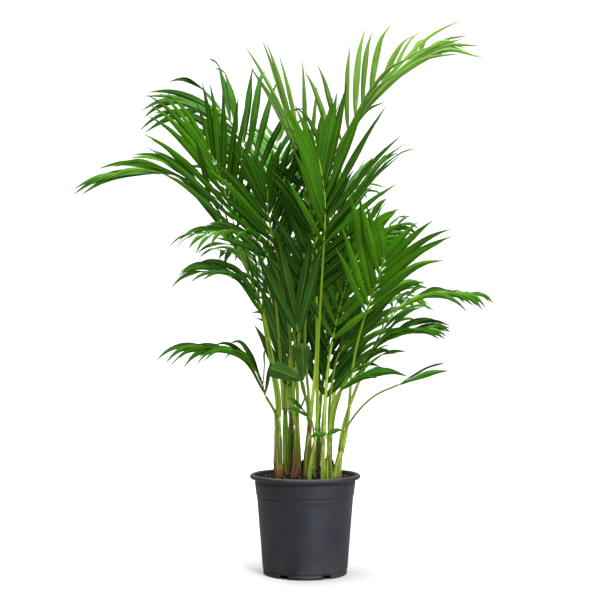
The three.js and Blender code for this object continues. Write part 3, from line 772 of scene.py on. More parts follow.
def stalk_material(settings):
    """Yellow-green near the cane and greener among the leaflets, with fine lines along it and broad
    dark streaks of painted shade.
    """
    material, nodes, surface = new_material("palm_stalk")
    link = nodes.tree.links.new
    texture = nodes.add("ShaderNodeTexCoord").outputs
    v = nodes.add("ShaderNodeSeparateXYZ", {0: texture["UV"]}).outputs[1]
    youth = nodes.attribute("youth")
    fibres = place_fibres(nodes, texture["UV"], 22.0, 6.0)
    painted_shading_streaks = place_fibres(nodes, texture["UV"], 3.5, 1.6)
    fresh = nodes.mix(youth, rgba(settings.fresh, 0.62), rgba(settings.fresh, 1.4))
    green = nodes.mix(youth, rgba(settings.green, 0.7), rgba(settings.green, 1.4))
    colour = nodes.mix(nodes.step(v, 0.1, 0.85), fresh, green)
    # Broad dark streaks along the stalk: painted shade across its round.
    colour = nodes.mix(nodes.math("MULTIPLY", painted_shading_streaks["Mask"], 0.75), colour, rgba(settings.green, 0.28))
    colour = nodes.mix(nodes.math("MULTIPLY", fibres["Mask"], 0.35), colour, rgba(settings.green, 0.25))
    link(colour, surface.inputs["Base Color"])
    rough = nodes.math("ADD", nodes.math("MULTIPLY", fibres["Height"], 0.2), 0.28)
    link(rough, surface.inputs["Roughness"])
    link(nodes.bump(fibres["Height"], 0.25, 0.3 * MM), surface.inputs["Normal"])
    surface.inputs["Specular IOR Level"].default_value = 0.25
    return material


def cane_material(settings):
    """Green sheaths that yellow along their edges and turn to rusty fibre at the foot, under broad
    streaks of painted light and shade, with painted shade on the canes further back.
    """
    material, nodes, surface = new_material("palm_cane")
    link = nodes.tree.links.new
    texture = nodes.add("ShaderNodeTexCoord").outputs
    age = nodes.attribute("age")
    rust = nodes.attribute("rust")
    fibres = place_fibres(nodes, texture["UV"], 34.0, 3.0)
    painted_shading_streaks = place_fibres(nodes, texture["UV"], 5.0, 0.8)
    blotch = place_mottle(nodes, texture["Object"], 90.0, 0.6)
    # Broad streaks of painted light and shade along the cane, from a dark to a bright green.
    green = nodes.mix(painted_shading_streaks["Mask"], rgba(settings.green, 0.3), rgba(settings.green, 1.5))
    uneven = nodes.math("SUBTRACT", fibres["Height"], 0.5)
    yellow = nodes.math("MULTIPLY_ADD", uneven, 0.9, third=age)
    colour = nodes.mix(nodes.step(yellow, 0.34, 0.86), green, rgba(settings.straw))
    dry = nodes.math("MULTIPLY_ADD", uneven, 1.2, third=rust)
    fibre = nodes.mix(fibres["Mask"], rgba(settings.rust, 0.35), rgba(settings.rust, 1.7))
    colour = nodes.mix(nodes.step(dry, 0.3, 0.75), colour, fibre)
    colour = nodes.mix(nodes.math("MULTIPLY", blotch, 0.22), colour, rgba(settings.rust, 0.6))
    # Painted shade: the canes further back are darker.
    painted_shade_behind = nodes.math("MULTIPLY_ADD", nodes.attribute("painted_shade"), -0.6, third=1.0)
    colour = nodes.mix(1.0, colour, painted_shade_behind, "MULTIPLY")
    link(colour, surface.inputs["Base Color"])
    rough = nodes.math("ADD", nodes.math("MULTIPLY", rust, 0.35), 0.36)
    link(rough, surface.inputs["Roughness"])
    link(nodes.bump(fibres["Height"], 0.4, 0.5 * MM), surface.inputs["Normal"])
    surface.inputs["Specular IOR Level"].default_value = 0.25
    return material


def pot_material(settings):
    """Matt moulded plastic with faint flow lines, a fine grain and a lighter top of the lip, which is a
    painted highlight.

    Dust gathers low down and under the rim.
    """
    material, nodes, surface = new_material("palm_pot_plastic")
    link = nodes.tree.links.new
    texture = nodes.add("ShaderNodeTexCoord").outputs
    place = texture["Object"]
    height = nodes.add("ShaderNodeSeparateXYZ", {0: place}).outputs[2]
    dust = place_mottle(nodes, place, 28.0, 0.75)
    low = nodes.step(height, 0.05, 0.0)
    high = nodes.step(height, 0.125, 0.15)
    where = nodes.math("ADD", nodes.math("MULTIPLY", low, 0.5), nodes.math("MULTIPLY", high, 0.35))
    amount = nodes.math("MULTIPLY", dust, nodes.math("ADD", where, 0.12), clamp=True)
    streak = nodes.noise(nodes.stretched(place, (60.0, 60.0, 4.0)), 1.0, 2.0)
    share = nodes.math("MULTIPLY", streak, 0.35)
    colour = nodes.mix(share, rgba(settings.plastic, 0.9), rgba(settings.plastic, 1.3))
    colour = nodes.mix(amount, colour, rgba(settings.dust))
    uneven = nodes.math("MULTIPLY_ADD", dust, 0.4, third=0.5)
    # The top of the lip is lighter: a painted highlight.
    painted_rim_highlight = nodes.math("MULTIPLY", nodes.step(height, 0.1495, 0.1518), uneven)
    colour = nodes.mix(painted_rim_highlight, colour, rgba(settings.dust, 1.6))
    link(colour, surface.inputs["Base Color"])
    rough = nodes.math("ADD", nodes.math("MULTIPLY", amount, 0.35), 0.42)
    rough = nodes.math("ADD", rough, nodes.math("MULTIPLY", streak, 0.12))
    link(rough, surface.inputs["Roughness"])
    grain = nodes.noise(place, 900.0, 2.0)
    link(nodes.bump(grain, 0.08, 0.15 * MM), surface.inputs["Normal"])
    return material


def soil_material(settings, name, share):
    """Dark damp soil with lighter crumbs of bark and root; share sets how much of it is light."""
    material, nodes, surface = new_material(name)
    link = nodes.tree.links.new
    place = nodes.add("ShaderNodeTexCoord").outputs["Object"]
    speckle = nodes.noise(place, 380.0, 4.0, 0.65)
    chips = place_mottle(nodes, place, 160.0, share)
    colour = nodes.mix(speckle, rgba(settings.dark), rgba(settings.dark, 2.6))
    colour = nodes.mix(nodes.math("MULTIPLY", chips, 0.7), colour, rgba(settings.light))
    link(colour, surface.inputs["Base Color"])
    link(nodes.bump(nodes.noise(place, 520.0, 5.0, 0.7), 0.9, 1.2 * MM), surface.inputs["Normal"])
    surface.inputs["Roughness"].default_value = 0.92
    surface.inputs["Specular IOR Level"].default_value = 0.25
    return material


def dead_material():
    """Dry fibre with splits along it: a reddish-brown cane, or tan strips of sheath by their age."""
    material, nodes, surface = new_material("palm_dead_cane")
    link = nodes.tree.links.new
    uv = nodes.add("ShaderNodeTexCoord").outputs["UV"]
    fibres = place_fibres(nodes, uv, 18.0, 1.5)
    brown = nodes.mix(fibres["Mask"], rgba((0.04, 0.016, 0.012)), rgba((0.22, 0.09, 0.055)))
    tan = nodes.mix(fibres["Mask"], rgba((0.14, 0.055, 0.02)), rgba((0.55, 0.3, 0.11)))
    link(nodes.mix(nodes.attribute("age"), brown, tan), surface.inputs["Base Color"])
    link(nodes.bump(fibres["Height"], 0.8, 0.8 * MM), surface.inputs["Normal"])
    surface.inputs["Roughness"].default_value = 0.75
    return material


def floor_material():
    """Plain pale floor, which sends little light back up to the plant."""
    material, nodes, surface = new_material("pale_floor")
    seen = nodes.add("ShaderNodeLightPath").outputs["Is Camera Ray"]
    colour = nodes.mix(seen, rgba((0.3, 0.3, 0.3)), rgba((0.72, 0.72, 0.72)))
    nodes.tree.links.new(colour, surface.inputs["Base Color"])
    surface.inputs["Roughness"].default_value = 0.9
    surface.inputs["Specular IOR Level"].default_value = 0.0
    return material


def shared_material(name, build):
    """A material that is built the first time it is asked for."""
    return bpy.data.materials.get(name) or build()


def colour_piece(piece, material):
    """Makes the material the piece's only one."""
    piece.data.materials.clear()
    piece.data.materials.append(material)


# ---- Fronds -----------------------------------------------------------------------------------


def blade_rings(centres, breadths, uppers, outline_breadths, tip_fall, settings, draw):
    """Corners of the leaflets of one frond, as rings of four, their tips, and the rings' shares t.

    A ring is one edge, the ridge, the other edge and the underside of the rib. The middle line is a
    smooth curve through a leaflet's sections, and falls a little more towards its tip, the more so
    the leveller it lies. The blade rolls about that line by an angle of its own, and twists on by
    another towards its tip. Half the breadth at a share t of the length is the outline's value times
    the greatest half breadth. The ridge stands over the edges by a share of the breadth and a little
    more, so that the section is a low roof, and the edges ripple by a sine of t.
    """
    t = 1 - (1 - np.linspace(0, 1, settings.rings + 1)) ** 1.15
    middle = smooth_through(LEAFLET_KNOTS, centres, t)
    level = 1 - np.abs(unit(centres[:, -1] - centres[:, 0])[:, 2])
    fall = tip_fall * draw.uniform(0.3, 2.0, len(centres)) * (0.3 + level)
    middle[..., 2] -= fall[:, None] * smooth_step(0.5, 1.0, t) ** 1.5
    along = unit(np.gradient(middle, axis=1))
    upper = square_to(smooth_through(LEAFLET_KNOTS, uppers, t), along)
    roll = settings.roll * draw.normal(0, 1, (len(centres), 1)).clip(-2, 2)
    twist = settings.twist * draw.uniform(-1, 1, (len(centres), 1))
    turn = (roll * smooth_step(0.0, 0.3, t) + twist * t)[..., None]
    upper = upper * np.cos(turn) + np.cross(along, upper) * np.sin(turn)
    side = np.cross(upper, along)
    outline = smooth_through(OUTLINE_KNOTS, outline_breadths[:, None], t)[:, 0].clip(0)
    half = breadths[:, None] * outline
    phase = draw.uniform(0, TAU, (len(centres), 1))
    ripple = 0.10 * half * np.sin(TAU * 1.7 * t + phase)
    roof = 0.34 * half + 0.15 * MM
    under = roof - settings.thickness * np.sqrt(outline.clip(0.04))
    rings = np.stack([
        middle - side * half[..., None] + upper * ripple[..., None],
        middle + upper * roof[..., None],
        middle + side * half[..., None] - upper * ripple[..., None],
        middle + upper * under[..., None],
    ], axis=2)
    return rings[:, :-1], middle[:, -1], t[:-1]


def painted_clump_shade(corners):
    """How much painted shade a place gets for lying deep in the clump: 1 near the plant's axis, 0 at
    the outer leaves.

    The depth falls smoothly with the distance from the axis, measured against a reach that widens
    from the foot of the foliage to its middle and narrows again to its top. It fades out at the top.
    """
    height = corners[..., 2]
    reach = 90 * MM + 110 * MM * smooth_step(0.25, 0.5, height) * smooth_step(0.95, 0.7, height)
    away = np.hypot(corners[..., 0], corners[..., 1] - 20 * MM) / reach
    return (1 - smooth_step(0.15, 1.1, away)) * smooth_step(0.84, 0.6, height)


def grow_leaflets(node, leaflets, settings, material):
    """All the leaflets of one frond as one mesh of closed, thin, folded blades."""
    draw = np.random.default_rng(FRONDS.index(node) + 1)
    centres, breadths, uppers = leaflet_sections(leaflets)
    outline = FORKED_BREADTHS if node == FORKED_FROND else OUTLINE_BREADTHS
    tip_fall = settings.tip_fall * ARCHING.get(node, 1.0)
    rings, tips, t = blade_rings(centres, breadths, uppers, outline, tip_fall, settings, draw)
    count, sections = rings.shape[:2]
    corners_each = sections * 4 + 1
    corners = np.concatenate([rings.reshape(count, -1, 3), tips[:, None]], axis=1)
    ring = np.arange(sections - 1)[:, None] * 4
    side = np.arange(4)[None, :]
    turn = (side + 1) % 4
    quads = np.stack([ring + side, ring + 4 + side, ring + 4 + turn, ring + turn], -1).reshape(-1, 4)
    last = (sections - 1) * 4
    ends = [[last + i, corners_each - 1, last + (i + 1) % 4] for i in range(4)] + [[0, 1, 2, 3]]
    one = quads.tolist() + ends
    faces = [[corner + k * corners_each for corner in face] for k in range(count) for face in one]
    across = np.tile([0.0, 0.5, 1.0, 0.5], sections)
    uv_one = np.stack([np.append(across, 0.5), np.append(np.repeat(t, 4), 1.0)], -1)
    uv = np.tile(uv_one, (count, 1))
    tone = np.repeat(draw.uniform(-1, 1, count), corners_each)
    youth = np.full(len(tone), YOUTH.get(node, DEFAULT_YOUTH))
    under = np.tile(np.append(np.tile([0.0, 0.0, 0.0, 1.0], sections), 0.0), count)
    under = np.maximum(under, DULLNESS.get(node, 0.0))
    # The depth in the clump is kept for painting shade on the leaflets there.
    values = {"tone": tone, "youth": youth, "under": under, "painted_shade": painted_clump_shade(corners)}
    piece = make_piece(f"{node}_leaflets", corners, faces, [node], uv, values, LEAFLET_EDGE)
    colour_piece(piece, material)


def stalk_section(sides, channel):
    """Points of a stalk's section: a circle whose upper side is flattened and hollowed.

    channel, from 0 to 1 for each section along the stalk, is how deep the hollow is.
    """
    turn = TAU * np.arange(sides) / sides
    across = np.broadcast_to(np.cos(turn), (len(channel), sides))
    height = np.broadcast_to(np.sin(turn), (len(channel), sides))
    top = smooth_step(0.0, 0.6, height)
    hollow = np.exp(-((across / 0.45) ** 2))
    return across, height - channel[:, None] * top * (0.3 + 0.35 * hollow)


def upper_sides(rings, leaflets):
    """Which way the stalk's upper side looks, one direction for each of its rings.

    Where leaflets grow, it is the sum of the ways in which they set out and in which their feet lie
    from the ring's centre. Between such rings it is blended, and before the first it is that of the
    first one.
    """
    centres = rings.mean(1)
    looks = np.zeros_like(centres)
    for *_, lowest, foot in leaflets:
        nearest = np.linalg.norm(centres - foot.mean(0), axis=1).argmin()
        outward = unit(foot.mean(0) - centres[nearest])
        looks[nearest] += unit(lowest.mean(0) - foot.mean(0)) + outward
    known = np.flatnonzero(np.linalg.norm(looks, axis=1) > 1e-6)
    spread = [np.interp(np.arange(len(centres)), known, looks[known, axis]) for axis in range(3)]
    return unit(np.stack(spread, -1))


def grow_stalk(node, rings, leaflets, settings, material):
    """A frond's stalk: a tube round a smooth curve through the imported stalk's ring centres.

    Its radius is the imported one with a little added, and widens at the foot into the sheath that it
    comes out of. The hollow of its upper side fades out past the stalk's middle.
    """
    centres = rings.mean(1)
    radii = np.linalg.norm(rings - centres[:, None], axis=2).mean(1)
    reached = np.concatenate([[0], np.cumsum(np.linalg.norm(np.diff(centres, axis=0), axis=1))])
    length = reached[-1]
    count = int(length / settings.step) + 2
    at = np.linspace(0, length, count)
    middle = smooth_through(reached, centres, at)
    along = unit(np.gradient(middle, axis=0))
    looks = upper_sides(rings, leaflets)
    upper = square_to(smooth_through(reached, looks, at), along)
    side = np.cross(upper, along)
    radius = np.interp(at, reached, radii) + 0.55 * MM
    seated = 1 - smooth_step(0.35 * settings.flare_length, 1.5 * settings.flare_length, at)
    radius = radius * (1 + 0.3 * seated)
    ring_number = np.interp(at, reached, np.arange(len(reached)))
    channel = 0.9 * (1 - smooth_step(0.45, 0.75, ring_number / len(reached)))
    across, height = stalk_section(settings.sides, channel)
    corners = (
        middle[:, None]
        + side[:, None] * (radius[:, None] * across)[..., None]
        + upper[:, None] * (radius[:, None] * height)[..., None]
    )
    share = np.broadcast_to((at / length)[:, None], (count, settings.sides))
    turn = np.broadcast_to(np.abs(np.linspace(-1, 1, settings.sides)), (count, settings.sides))
    uv = np.stack([turn, share], -1)
    youth = np.full((count, settings.sides), YOUTH.get(node, DEFAULT_YOUTH))
    piece = tube_piece(f"{node}_stalk", corners, [node], uv, {"youth": youth})
    colour_piece(piece, material)


# ---- Canes ------------------------------------------------------------------------------------


def sheath_edge(turn, height, draw, top, bottom):
    """How many outer sheaths cover a place, of two, and how near it lies to one's upper edge.

    An edge's height follows a cosine of the turn, so that it slants. The nearness is a bell curve of
    the height over the edge.
    """
    cover = np.zeros_like(turn)
    slit = np.zeros_like(turn)
    for share in (0.42, 0.78):
        mouth = draw.uniform(0, TAU)
        edge = bottom + (top - bottom) * (share + draw.uniform(-0.1, 0.1))
        slant = draw.uniform(14, 34) * MM
        rim = edge + slant * np.cos(turn - mouth)
        cover += 1 - smooth_step(-1.2 * MM, 1.2 * MM, height - rim)
        slit += np.exp(-(((height - rim) / (3 * MM)) ** 2))
    return cover, slit


def grow_cane(node, number, settings, material):
    """A cane: rings round a smooth line through its levels, stepped where an outer sheath ends.

    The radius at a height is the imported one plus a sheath's thickness for each sheath that still
    covers the place, less one, and it closes in over the last part in a quarter of an ellipse. Rust
    fades out with the height over the soil, and runs up one seam.
    """
    draw = np.random.default_rng(100 + number)
    levels = cane_levels(node)
    bottom, top = levels[0, 0], levels[-1, 0]
    height = np.linspace(bottom, top, settings.up)
    line = smooth_through(levels[:, 0], levels[:, 1:3], height)
    radius = np.interp(height, levels[:, 0], levels[:, 3])
    turn = TAU * np.arange(settings.around) / settings.around
    turns, heights = np.meshgrid(turn, height)
    cover, slit = sheath_edge(turns, heights, draw, top, max(bottom, SOIL_LINE))
    close = np.sqrt(np.clip(1 - smooth_step(top - 12 * MM, top + 3 * MM, heights) ** 2, 0.02, 1))
    close = close * (1 - 0.3 * smooth_step(top - 60 * MM, top - 6 * MM, heights))
    oval = 1 + 0.06 * np.cos(2 * (turns - draw.uniform(0, TAU)))
    wobble = bark_noise(turns, heights, 2, 60, number)
    radii = (radius[:, None] * oval + settings.sheath * (cover - 1) + 0.18 * MM * wobble) * close
    rings = np.stack([
        line[:, :1] + radii * np.cos(turns),
        line[:, 1:] + radii * np.sin(turns),
        heights,
    ], -1)
    climb = RUST_CLIMB.get(node, 6) * MM * (1 + 0.5 * np.cos(turns - draw.uniform(0, TAU)))
    rust = 0.9 * (1 - smooth_step(0, 1, (heights - SOIL_LINE) / climb))
    seam = draw.uniform(0, TAU) + 0.25 * np.sin(heights / (30 * MM))
    rust = np.maximum(rust, 0.6 * smooth_step(0.92, 0.99, np.cos(turns - seam)))
    if node in DRY_PATCHES:
        away = (heights - DRY_PATCHES[node] * MM) / (10 * MM)
        front = smooth_step(0.0, 0.9, np.cos(turns + 0.25 * TAU))
        rust = np.maximum(rust, 0.8 * np.exp(-(away**2)) * front)
    patches = bark_noise(turns, heights, 1.3, 16, number + 50)
    age = 0.35 + 0.35 * slit + 0.3 * patches + draw.uniform(-0.12, 0.12)
    uv = np.stack([turns / TAU, (heights - bottom) / (top - bottom)], -1)
    # How far back the cane lies, for painted shade that darkens it.
    painted_shade = smooth_step(-5 * MM, 45 * MM, rings[..., 1])
    values = {"age": age, "rust": rust, "painted_shade": painted_shade}
    piece = tube_piece(node + "_sheaths", rings, [node], uv, values)
    colour_piece(piece, material)


def grow_stub(material):
    """The dead cane: a thin ribbed tube whose ragged end rises to a splinter on one side."""
    levels = cane_levels("dead_stub")
    height = np.linspace(levels[0, 0], levels[-1, 0], 40)
    line = smooth_through(levels[:, 0], levels[:, 1:3], height)
    radius = np.interp(height, levels[:, 0], levels[:, 3])
    turns, heights = np.meshgrid(TAU * np.arange(28) / 28, height)
    ribs = bark_noise(turns, heights, 3, 30, 9)
    radii = radius[:, None] * (0.8 + 0.12 * ribs)
    ragged = 5 * MM * bark_noise(turns, heights, 2, 0, 12)
    share = smooth_step(0.6, 1.0, (heights - height[0]) / (height[-1] - height[0]))
    splinter = 13 * MM * (0.5 - 0.5 * np.cos(turns)) ** 2
    rings = np.stack([
        line[:, :1] + radii * np.cos(turns),
        line[:, 1:] + radii * np.sin(turns),
        heights + share * (splinter - np.abs(ragged)),
    ], -1)
    uv = np.stack([turns / TAU, (heights - height[0]) / (height[-1] - height[0])], -1)
    piece = tube_piece("dead_stub_bark", rings, ["dead_stub"], uv, {})
    colour_piece(piece, material)


def grow_husks(material):
    """Torn strips of dry sheath round the feet of the older canes and the dead one, as one mesh.

    A strip rises along its cane and leans out with the square of the share t of its height. Its
    breadth falls with the root of 1 - t.
    """
    draw = np.random.default_rng(21)
    t = np.linspace(0, 0.97, 7)
    rings, ages = [], []
    for node, climb in (*RUST_CLIMB.items(), ("dead_stub", DEAD_CLIMB)):
        levels = cane_levels(node)
        for turn in draw.uniform(0, TAU, 7):
            height = HUSK_FOOT + (3 + climb * draw.uniform(0.4, 1.5)) * MM * t
            x, y, radius = (np.interp(height, levels[:, 0], levels[:, k]) for k in (1, 2, 3))
            sway = turn + draw.uniform(-0.3, 0.3) * t
            out = np.stack([np.cos(sway), np.sin(sway), 0 * t], -1)
            side = np.stack([-np.sin(sway), np.cos(sway), 0 * t], -1)
            away = radius + (1.1 + draw.uniform(0.3, 2.2) * t**2) * MM
            half = (draw.uniform(0.7, 1.7) * MM * np.sqrt(1 - t))[:, None] * side
            thick = 0.2 * MM * out
            middle = np.stack([x, y, height], -1) + away[:, None] * out
            rings.append(np.stack([
                middle - thick - half,
                middle + thick - half,
                middle + thick + half,
                middle - thick + half,
            ], 1))
            ages.append(draw.uniform(0.2, 1.0))
    one = tube_faces(len(t), 4)
    faces = [[corner + k * 4 * len(t) for corner in face] for k in range(len(rings)) for face in one]
    uv_one = np.stack([np.tile([0.0, 0.0, 1.0, 1.0], len(t)), np.repeat(t, 4)], -1)
    uv = np.tile(uv_one, (len(rings), 1))
    age = np.repeat(ages, 4 * len(t))
    values = {"age": age}
    piece = make_piece("torn_husks", np.array(rings), faces, [], uv, values, HUSK_EDGE)
    colour_piece(piece, material)


# ---- Pot and soil -----------------------------------------------------------------------------


def arc(centre, radius, first, last, count):
    """Points of a round stretch of an outline, angles in degrees from the outward direction."""
    turn = np.radians(np.linspace(first, last, count))
    return np.stack([centre[0] + radius * np.cos(turn), centre[1] + radius * np.sin(turn)], -1)


def pot_outline():
    """The pot's outline in millimetres, radius and height, from the middle of the foot outwards.

    Straight stretches have their corners only, and round ones are arcs.
    """
    return np.concatenate([
        [[0.0, 0.0], [12.0, 0.0], [23.2, 0.0]],
        [[24.4, 0.8], [26.8, 6.4]],
        [[28.2, 7.0], [44.0, 7.0], [59.2, 7.0]],
        [[60.4, 6.2], [61.0, 0.5], [61.4, 0.0], [63.2, 0.0]],
        [[64.0, 0.8], [64.7, 3.2], [64.5, 5.0], [63.8, 6.2], [64.3, 7.0], [65.1, 8.6]],
        np.stack([np.linspace(65.3, 73.9, 14), np.linspace(10.5, 115.0, 14)], -1),
        [[74.4, 116.2], [74.4, 117.0], [73.9, 118.2], [74.1, 119.2], [75.2, 120.2], [75.7, 121.8]],
        [[75.8, 126.0], [76.6, 133.0], [77.5, 139.4]],
        [[77.3, 140.6], [76.8, 141.6], [77.4, 143.0], [79.6, 143.9]],
        arc((81.4, 148.2), 3.6, -80, 150, 14),
        [[78.0, 149.0], [77.2, 146.0], [75.9, 140.0]],
        [[74.6, 128.0], [73.5, 121.0], [72.2, 117.0]],
        [[68.0, 70.0], [63.4, 14.0], [62.9, 11.0], [61.2, 9.2], [56.0, 9.0], [30.0, 9.0], [0.0, 9.0]],
    ])


def lathe(outline, around):
    """Corners and faces of an outline turned round the upright axis; it begins and ends on the axis."""
    turn = TAU * np.arange(around) / around
    ring = np.stack([np.cos(turn), np.sin(turn)], -1)
    body = outline[1:-1]
    rings = np.concatenate([
        body[:, None, :1] * ring[None],
        np.broadcast_to(body[:, None, 1:], (len(body), around, 1)),
    ], -1)
    first, last = len(body) * around, len(body) * around + 1
    poles = np.array([[0, 0, outline[0, 1]], [0, 0, outline[-1, 1]]])
    faces = ring_faces(len(body), around).tolist()
    edge = (len(body) - 1) * around
    for i in range(around):
        j = (i + 1) % around
        faces.append([first, j, i])
        faces.append([last, edge + i, edge + j])
    return np.concatenate([rings.reshape(-1, 3), poles]), faces


def cutter(name, corners, faces):
    """A closed shape that is cut out of a piece."""
    mesh = bpy.data.meshes.new(name)
    mesh.from_pydata(corners.tolist(), [], faces)
    tool = bpy.data.objects.new(name, mesh)
    bpy.context.scene.collection.objects.link(tool)
    return tool


def cut_away(piece, tools):
    """Cuts closed tools out of a piece and removes them."""
    bpy.context.view_layer.objects.active = piece
    for tool in tools:
        step = piece.modifiers.new(tool.name, "BOOLEAN")
        step.operation = "DIFFERENCE"
        step.solver = "EXACT"
        step.object = tool
        bpy.ops.object.modifier_apply(modifier=step.name)
        bpy.data.objects.remove(tool)


def notch_cutters():
    """Boxes that stand half under the floor, one across the foot ring at each drain notch."""
    half = NOTCH_WIDTH / 2
    square = np.array([[-half, -half], [half, -half], [half, half], [-half, half]])
    box = np.concatenate([
        np.column_stack([square, np.full(4, height)]) for height in (-NOTCH_HEIGHT, NOTCH_HEIGHT)
    ])
    tools = []
    for i in range(NOTCH_COUNT):
        turn = math.radians(360 / NOTCH_COUNT * (i - 1))
        outward = np.array([math.cos(turn), math.sin(turn), 0])
        aside = np.array([-math.sin(turn), math.cos(turn), 0])
        placed = (box * MM + [NOTCH_CIRCLE * MM, 0, 0]) @ np.stack([outward, aside, [0, 0, 1]])
        tools.append(cutter(f"notch_{i}", placed, tube_faces(2, 4)))
    return tools


def drain_cutters():
    """Upright rods through the pot's floor, one at each drain hole.

    Their corners are turned by half a step, so that none lies on a line of the pot's own corners.
    """
    around = TAU * (np.arange(24) + 0.5) / 24
    circle = DRAIN_RADIUS * np.stack([np.cos(around), np.sin(around)], -1)
    tools = []
    for i in range(DRAIN_COUNT):
        turn = math.radians(360 / DRAIN_COUNT * (i - 1))
        ring = circle + DRAIN_CIRCLE * np.array([math.cos(turn), math.sin(turn)])
        rod = np.concatenate([np.column_stack([ring, np.full(24, end)]) for end in DRAIN_ENDS])
        tools.append(cutter(f"drain_{i}", rod * MM, tube_faces(2, 24)))
    return tools


def mould_pot(settings, material):
    """The pot: its outline turned, less the drain notches of its foot and the holes of its floor."""
    corners, faces = lathe(pot_outline() * MM, settings.around)
    piece = make_piece("pot_shell", corners, faces, ["pot"], sharp=POT_EDGE)
    cut_away(piece, notch_cutters() + drain_cutters())
    piece.data.set_sharp_from_angle(angle=POT_EDGE)
    colour_piece(piece, material)


def soil_heights(x, y):
    """Height of the soil's surface: its level, three heaps as round hills, and two sizes of noise."""
    place = np.stack([x, y, np.zeros_like(x)], -1)
    rough = 1.6 * MM * lattice_noise(place, 7 * MM, 3) + 0.9 * MM * lattice_noise(place, 2.6 * MM, 4)
    height = SOIL_LEVEL + rough
    heaps = ((-2, 24, 24, 11), (37, 13, 33, 11), (14, 8, 10, 16))
    for heap_x, heap_y, tall, reach in heaps:
        away = np.hypot(x - heap_x * MM, y - heap_y * MM) / (reach * MM)
        height = height + tall * MM * np.exp(-(away**2))
    return height


def fill_soil(material):
    """The soil: a closed body under the pot's lip, whose rough top is rings round its middle."""
    wall = np.array([[0, 9.3], [60.8, 9.3], [62.6, 14.0], [71.6, 117.0], [73.4, 138.0]]) * MM
    shares = np.linspace(1, 0, 60)[:-1] ** 0.9
    top = np.stack([shares * 74 * MM, np.full(len(shares), SOIL_LEVEL)], -1)
    outline = np.concatenate([wall, top, [[0, SOIL_LEVEL]]])
    corners, faces = lathe(outline, 160)
    upper = corners[:, 2] >= SOIL_LEVEL
    corners[upper, 2] = soil_heights(corners[upper, 0], corners[upper, 1])
    piece = make_piece("soil_bed", corners, faces, ["soil"])
    colour_piece(piece, material)


# A rough chunk of soil, one unit from its middle to its sides.
CHUNK = np.array([
    [-1, 0, -0.7], [0.2, -1, -0.6], [1, 0.1, -0.7], [0, 0.9, -0.7],
    [-0.7, -0.6, 0.4], [0.7, -0.5, 0.5], [0.6, 0.7, 0.3], [-0.6, 0.6, 0.5], [0.1, 0, 1.0],
])
CHUNK_FACES = [
    [0, 1, 4], [1, 5, 4], [1, 2, 5], [2, 6, 5], [2, 3, 6], [3, 7, 6], [3, 0, 7], [0, 4, 7],
    [4, 5, 8], [5, 6, 8], [6, 7, 8], [7, 4, 8], [0, 3, 2, 1],
]


def scatter_crumbs(settings, materials):
    """Loose crumbs: one rough chunk, turned, stretched and sunk a little into the soil, many times."""
    draw = np.random.default_rng(7)
    for name, count, material, size in (
        ("soil_crumbs", settings.crumbs, materials[0], (1.0, 3.6)),
        ("bark_bits", settings.crumbs // 3, materials[1], (0.7, 3.0)),
    ):
        reach = 73 * MM * np.sqrt(draw.uniform(0, 1, count))
        turn = draw.uniform(0, TAU, count)
        x, y = reach * np.cos(turn), reach * np.sin(turn)
        scale = draw.uniform(size[0], size[1], (count, 1)) * draw.uniform(0.5, 1.0, (count, 3)) * MM
        axes = unit(draw.normal(size=(count, 3)))
        other = square_to(draw.normal(size=(count, 3)), axes)
        basis = np.stack([axes, other, np.cross(axes, other)], 1)
        shape = (CHUNK[None] + 0.18 * draw.normal(size=(count, len(CHUNK), 3))) * scale[:, None]
        corners = shape @ basis
        corners += np.stack([x, y, soil_heights(x, y) + 0.3 * scale[:, 0]], -1)[:, None]
        faces = [
            [corner + k * len(CHUNK) for corner in face] for k in range(count) for face in CHUNK_FACES
        ]
        piece = make_piece(name, corners, faces, [], sharp=CRUMB_EDGE)
        colour_piece(piece, material)


# ---- Stage ------------------------------------------------------------------------------------


def add_light(name, place, target, size, power, colour=(1, 1, 1), spread=math.pi):
    """A square soft light that looks from its place to a target, in a beam of the given spread."""
    light = bpy.data.lights.new(name, "AREA")
    light.size = size
    light.spread = spread
    light.energy = power
    light.color = colour
    lamp = bpy.data.objects.new(name, light)
    bpy.context.scene.collection.objects.link(lamp)
    lamp.location = place
    direction = np.array(target) - np.array(place)
    lamp.rotation_euler = (
        math.atan2(math.hypot(direction[0], direction[1]), -direction[2]),
        0,
        math.atan2(direction[0], -direction[1]) + math.pi,
    )


